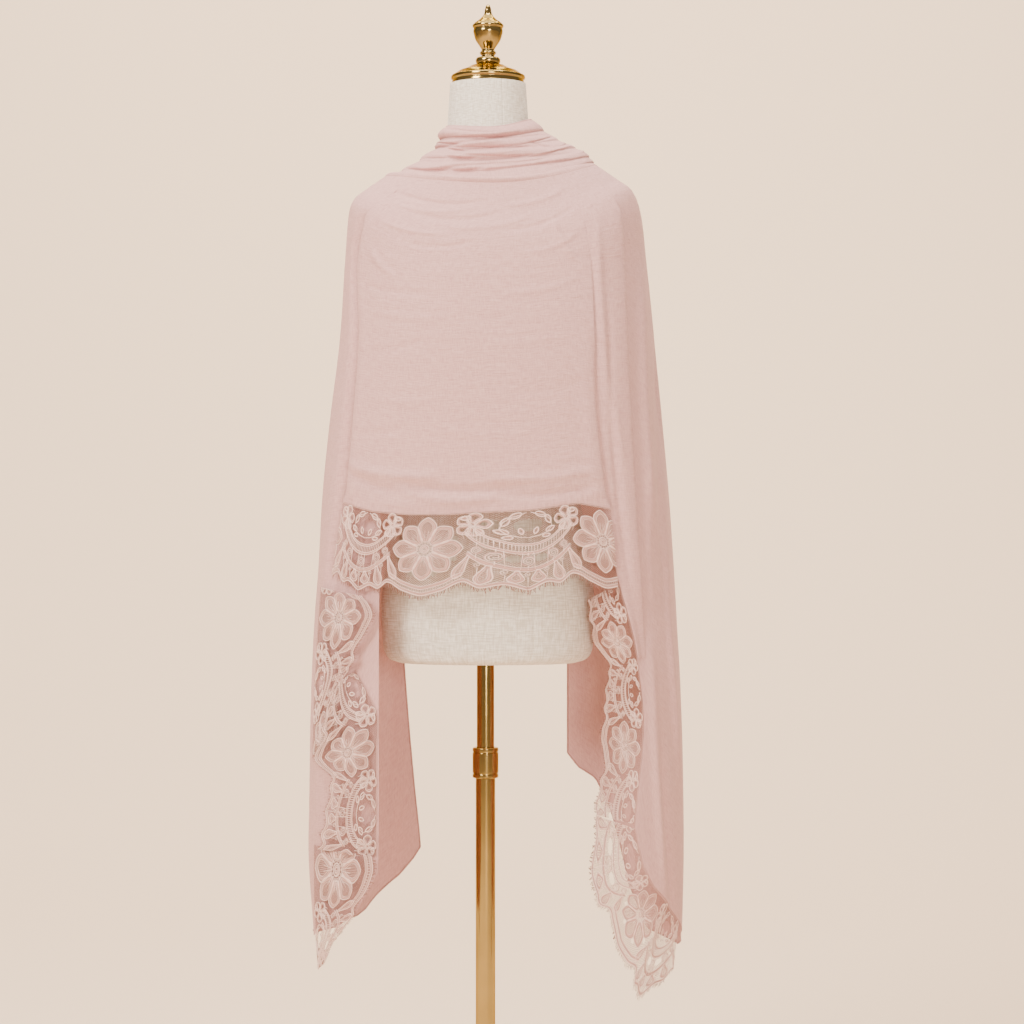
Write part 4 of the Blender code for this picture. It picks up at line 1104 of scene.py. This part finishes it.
def draw_leaves():
    """Small leaves and tendrils on both sides of the hole under the seam."""
    for side in (-1, 1):
        for at, down, turn, long, half in (
            (7, 4, 62, 13, 3.2), (19, 9, 20, 12, 3.0), (18, 30, 118, 11, 2.8), (34, 31, 150, 12, 3.0),
            (6, 32, 160, 9, 2.4), (45, 6, 80, 10, 2.6), (14, 36, 95, 9, 2.2),
        ):
            draw_petal((SWAG + side * at, down), side * turn, 0.3, long, half, 1.6, 0.5, 7, 0)
        stem = [(2, 3), (8, 6), (16, 8.5), (23, 15), (25, 24), (20, 31), (10, 35), (0, 36.5)]
        thread([(SWAG + side * at, down) for at, down in stem], 1.0, "cord")
        thread(spiral((SWAG + side * 46, 28), 3.6, -1.5 * side, 200, 8), 0.9, "cord")
        tendril = [(36, 8), (40, 16), (47, 20), (52, 27), (50, 34)]
        thread([(SWAG + side * at, down) for at, down in tendril], 0.8, "cord")


draw_flower()
draw_edge()
draw_swag()
draw_small_flower((47.5, 16.0), 20)
draw_small_flower((REPEAT - 47.5, 16.0), -20)
draw_leaves()


# The ground's threads cross 2.0 mm apart. On the loom they are 1.3 mm apart.
GROUND_PITCH, GROUND_THREAD = 2.0, 0.42
ground = [(-SWAG, 1.0)] + edge_line(-SWAG, SWAG, 1.0) + [(SWAG, 1.0)]
holes = [ellipse(at, *rest) for at, *rest in OPENINGS if at < SWAG]
holes += [ellipse(at - REPEAT, *rest) for at, *rest in OPENINGS if at > SWAG]
half_hole = ellipse(*OPENINGS[0])
holes.append([(min(x, SWAG), y) for x, y in half_hole])
holes.append([(max(x - REPEAT, -SWAG), y) for x, y in half_hole])
for lean in (38, -38):
    hatch([ground, *holes], lean, GROUND_PITCH, GROUND_THREAD)


def clipped(points, closed, low, high):
    """The runs of a line that lie between two places along the lace."""
    if closed:
        points = np.vstack([points, points[:1]])
    if points[:, 0].min() >= low and points[:, 0].max() <= high:
        return [points[:-1] if closed else points], closed
    runs, run = [], []
    for start, end in zip(points, points[1:]):
        crossings = [0.0, 1.0]
        for limit in (low, high):
            if (start[0] - limit) * (end[0] - limit) < 0:
                crossings.append((limit - start[0]) / (end[0] - start[0]))
        crossings.sort()
        for first, last in zip(crossings, crossings[1:]):
            pieces = [start + (end - start) * share for share in (first, last)]
            if low - 1e-6 <= (pieces[0][0] + pieces[1][0]) / 2 <= high + 1e-6:
                if not run:
                    run = [pieces[0]]
                run.append(pieces[1])
            elif run:
                runs.append(np.array(run))
                run = []
    if run:
        runs.append(np.array(run))
    return runs, False


def threads_of(length, flower):
    """All the threads of a stretch, whose first flower lies at a place along it."""
    found = []
    for number in range(-2, 4):
        shift = flower + number * REPEAT
        if shift + REPEAT * 1.5 < 0 or shift - SWAG > length:
            continue
        for points, width, kind, closed in pattern:
            moved = points + (shift, 0.0)
            if moved[:, 0].max() < 0 or moved[:, 0].min() > length:
                continue
            runs, still = clipped(moved, closed, 0.0, length)
            found += [(run, width, kind, still) for run in runs if len(run) > 1]
    seam = [(at, 0.6) for at in np.linspace(0.0, length, 2 + int(length / 3))]
    found.append((np.array(seam), 1.1, "clothwork", False))
    return found


HAIR_START, HAIR_LONG, HAIR_WIDE, HAIR_APART = 0.8, (3.4, 8.0), (0.50, 0.75), (0.9, 1.8)


def hairs_of(length, flower, rng):
    """The fringe: the warp's cut ends, left 3 to 8 mm long along the scalloped edge."""
    found = []
    at = HAIR_START
    while at < length - HAIR_START:
        down = edge_down(at - flower)
        long, lean = rng.uniform(*HAIR_LONG), rng.uniform(-0.35, 0.35)
        bend = rng.uniform(-0.9, 0.9)
        hair = [
            (at + lean * long * t + bend * t * (1 - t) * 2, down - 0.3 + long * t) for t in (0, 0.5, 1)
        ]
        found.append((np.array(hair), rng.uniform(*HAIR_WIDE), "net", False))
        at += rng.uniform(*HAIR_APART)
    return found


cord, tree, shader = new_material(
    "lustrous_lace_cord", Base_Color=linear("#F4D4C9"), Roughness=0.5, Sheen_Weight=0.25
)
# The cord is wound with floss, one turn every 0.6 mm.
surface_finish(tree, shader, thread_noise(tree, (1500.0, 1500.0), 0.0), relief=(0.4, 0.25))

net, tree, shader = new_material("ground_net_darkened_as_painted_shade", Roughness=0.8)
# The ground's yarn is uneven over about 4 mm, and it is darker where it is twisted hard. The whole net
# is coloured far darker than the cord as painted shade, for the dark gaps and contact shadows round the
# raised cords. The fringe's hairs are drawn in this colour too.
surface_finish(tree, shader, thread_noise(tree, (250.0, 250.0), 2.0), ("#8A5F57", "#AC7F75"))

clothwork, tree, shader = new_material("woven_lace_clothwork", Roughness=0.72, Sheen_Weight=0.3)
# The petals are filled as darning is, with threads that shine along their run.
weft = thread_noise(tree, (1400.0, 260.0), 1.0)
surface_finish(tree, shader, weft, ("#BC8E84", "#D6A99F"), (0.5, 0.25))


def mesh_of_threads(name, threads, place):
    """One mesh of four-sided threads. place turns arrays of along, down and height in
    millimetres into points."""
    flat, faces, uvs, kinds = [], [], [], []
    count = 0
    for points, width, kind, closed in threads:
        offset, lift = THREADS[kind]
        ahead = np.roll(points, -1, axis=0) - np.roll(points, 1, axis=0)
        if not closed:
            ahead[0], ahead[-1] = points[1] - points[0], points[-1] - points[-2]
        ahead /= np.maximum(np.linalg.norm(ahead, axis=1), 1e-9)[:, None]
        side = np.column_stack([-ahead[:, 1], ahead[:, 0]]) * width / 2
        n = len(points)
        rings = np.zeros((n, 4, 3))
        rings[:, 0, :2], rings[:, 2, :2] = points + side, points - side
        rings[:, 1, :2] = rings[:, 3, :2] = points
        rings[:, :, 2] = (offset, offset + lift, offset, offset - lift)
        flat.append(rings.reshape(-1, 3))
        run = np.concatenate([[0.0], np.cumsum(np.linalg.norm(np.diff(points, axis=0), axis=1))])
        last = n if closed else n - 1
        run = np.append(run, run[-1] + np.linalg.norm(points[0] - points[-1]))
        over = (width / 2, 0.0, -width / 2, 0.0)
        for k in range(last):
            here, there = count + 4 * k, count + 4 * ((k + 1) % n)
            for s in range(4):
                e = (s + 1) % 4
                faces.append((here + s, here + e, there + e, there + s))
                uvs += [(run[k], over[s]), (run[k], over[e]), (run[k + 1], over[e]),
                        (run[k + 1], over[s])]
        if not closed:
            for end, order in ((count, 1), (count + 4 * (n - 1), -1)):
                faces.append(tuple(end + s for s in range(4))[::-order])
                uvs += [(0.0, over[s]) for s in range(4)]
        kinds += [("clothwork", "cord", "net").index(kind)] * (4 * last + (0 if closed else 2))
        count += 4 * n
    flat = np.vstack(flat)
    mesh = bpy.data.meshes.new(name)
    mesh.from_pydata(place(flat).tolist(), [], faces)
    layer = mesh.uv_layers.new(name="threads")
    layer.data.foreach_set("uv", (np.array(uvs, np.float32) * MILLIMETRE).ravel())
    mesh.shade_smooth()
    for thread_material in (clothwork, cord, net):
        mesh.materials.append(thread_material)
    mesh.polygons.foreach_set("material_index", np.array(kinds, np.int32))
    return mesh


COLUMN_STEP, LEVELS, DEEPEST = 5, 14, 1.1


def surface_of(point, length):
    """A fast way to place flat lace on a stretch: point takes metres along and a share."""
    columns = 2 + int(length / COLUMN_STEP)
    along, shares = np.linspace(0.0, length, columns), np.linspace(0.0, DEEPEST, LEVELS)
    net = np.array([[tuple(point(at * MILLIMETRE, share)) for share in shares] for at in along])
    normal = np.cross(np.gradient(net, axis=0), np.gradient(net, axis=1))
    normal /= np.linalg.norm(normal, axis=2)[:, :, None]
    if normal[:, :, 1].mean() > 0:
        normal = -normal

    def place(flat):
        x = np.clip(flat[:, 0] / length * (columns - 1), 0, columns - 1.001)
        y = np.clip(flat[:, 1] / LACE_DROP / DEEPEST * (LEVELS - 1), 0, LEVELS - 1.001)
        i, j = x.astype(int), y.astype(int)
        u, v = (x - i)[:, None], (y - j)[:, None]

        def mixed(field):
            return (
                field[i, j] * (1 - u) * (1 - v) + field[i + 1, j] * u * (1 - v)
                + field[i, j + 1] * (1 - u) * v + field[i + 1, j + 1] * u * v
            )

        return mixed(net) + mixed(normal) * (flat[:, 2:] * MILLIMETRE)

    return place


def lace_border(name, length, flower, point, seed):
    """One stretch of the border with its fringe. length and flower are in metres."""
    length, flower = length / MILLIMETRE, flower / MILLIMETRE
    threads = threads_of(length, flower)
    place = surface_of(point, length)
    border = bpy.data.objects.new(name, mesh_of_threads(name, threads, place))
    hairs = mesh_of_threads(f"{name}_fringe", hairs_of(length, flower, random.Random(seed)), place)
    fringe = bpy.data.objects.new(f"{name}_fringe", hairs)
    covered = sum(
        width * np.linalg.norm(np.diff(points, axis=0), axis=1).sum()
        for points, width, kind, closed in threads
    ) * MILLIMETRE**2
    for made in (border, fringe):
        bpy.context.scene.collection.objects.link(made)
        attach(made, "form")
    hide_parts(name)


# ---- the lace in front
# The border is sewn to the front panel's hem and hangs free over the form's waist.
SEAM_DROP, HEM_ROW = 0.0005, 7
hem_ends = [CAPE[HEM_ROW][CAPE_COLUMNS.index(f"panel_{side}")] for side in ("left", "right")]
FRONT_WIDTH = hem_ends[1] - hem_ends[0]


def front_lace_point(along, share):
    across = along / FRONT_WIDTH
    height = straight(PANEL_HEM, across) - SEAM_DROP - LACE_DROP * MILLIMETRE * share
    row = row_at(height, panel_turn(across, 7.5))
    return cape(row, panel_turn(across, round(row, 3)))


lace_border("lace_front", FRONT_WIDTH, 0.156, front_lace_point, 1)

# ---- the lace at the right
# Down the right tail the border turns in from the fold's and the tail's front edge, and
# its scallops hang free inside. At the tail's corner it follows the hem round.
RIGHT_UPPER = metres([  # along, the seam's height, and the free edge across, back and up
    (0, 840, 139.2, -75, 816.9), (50, 797, 139.2, -65, 777.6), (95, 760, 150, -45, 756),
    (140, 728.6, 165.9, -20, 723), (190, 690, 164.5, 0, 686.5), (240, 646.6, 157.7, 0, 645.8),
    (290, 603, 161.7, 0, 608.7), (340, 557.5, 154.9, 0, 561.3), (385, 517, 149, -6.5, 519),
])
RIGHT_LOWER = metres([  # along, the share of the way along the hem, and the free edge as above
    (0, 0.002, 149, -8, 519.5), (55, 0.05, 145, -30, 414.5), (110, 0.1, 172, -50, 368.5),
    (170, 0.17, 195, -60, 303), (220, 0.23, 209, -55, 276), (275, 0.29, 256, -35, 300),
], kept=(1,))
TURN_IN = 0.0009


EDGE_POINTS = 60
right_edge = [fold_point(0.0, k / EDGE_POINTS) for k in range(EDGE_POINTS + 1)]
right_edge = [place for place in right_edge if place.z > FOLD_FOOT - 0.001]
right_edge += [row[0] for row in tails["right"][2] if row[0].z < FOLD_FOOT - 0.030]
right_edge = right_edge[::-1]


def right_upper_point(along, share):
    height = smooth_at(RIGHT_UPPER, along, 1)
    seam = Vector(
        [straight([(place.z, place[k]) for place in right_edge], height) for k in range(3)]
    )
    seam.x -= TURN_IN
    return seam.lerp(Vector([smooth_at(RIGHT_UPPER, along, k) for k in (2, 3, 4)]), share)


def right_lower_point(along, share):
    seam = right_tail_point(smooth_at(RIGHT_LOWER, along, 1), 1.0)
    seam -= Vector((TURN_IN, 0.0, TURN_IN))
    return seam.lerp(Vector([smooth_at(RIGHT_LOWER, along, k) for k in (2, 3, 4)]), share)


lace_border("lace_right_upper", 0.385, 0.275, right_upper_point, 2)
lace_border("lace_right_lower", 0.275, 0.130, right_lower_point, 3)

# ---- the lace at the left
# On the left tail the border runs down the front in three folded stretches, one over
# the other, each lying on the tail's cloth.
LEFT_UPPER = metres([  # along, the seam across and up, the free edge across and up
    (0, -221.5, 834, -150, 822), (50, -225.5, 786, -148.5, 793.9), (100, -228.5, 736, -167.2, 741),
    (150, -231, 686, -183.4, 715), (200, -232.5, 640, -191.5, 675.4),
    (240, -233.5, 600, -195.6, 634.8),
])
LEFT_MIDDLE = metres([
    (0, -178, 724, -200, 690), (73, -147.5, 667, -219, 630), (120, -147.5, 620, -221.5, 600),
    (165, -147.5, 577, -206, 575), (215, -147.5, 525, -210, 528), (270, -148, 474, -226.5, 481),
])
LEFT_LOWER = metres([
    (0, -232, 484, -145.5, 476.5), (40, -232.5, 420, -153, 430), (80, -231, 380, -171.3, 393),
    (120, -229, 345, -197.5, 360), (160, -226, 312, -213, 325),
])


def on_front(x, height, out):
    """The point of the cape's front at x and this height, moved out from it."""
    row = row_at(height, turn_at(8.0, x))
    row = row_at(height, turn_at(row, x))
    return cape(row, turn_at(row, x), out)


def laid_lace(rows, seam_out, free_out):
    """Lace that lies on the front: how far out it is at its seam, and further in."""

    def point(along, share):
        seam_x, seam_z, free_x, free_z = (smooth_at(rows, along, k) for k in (1, 2, 3, 4))
        x, z = seam_x + (free_x - seam_x) * share, seam_z + (free_z - seam_z) * share
        return on_front(x, z, seam_out + (free_out - seam_out) * ease(share / 0.4))

    return point


lace_border("lace_left_upper", 0.240, 0.045, laid_lace(LEFT_UPPER, 0.0022, 0.0045), 4)
lace_border("lace_left_middle", 0.270, 0.117, laid_lace(LEFT_MIDDLE, -0.0090, 0.0090), 5)
lace_border("lace_left_lower", 0.160, 0.020, laid_lace(LEFT_LOWER, 0.0015, 0.0045), 6)
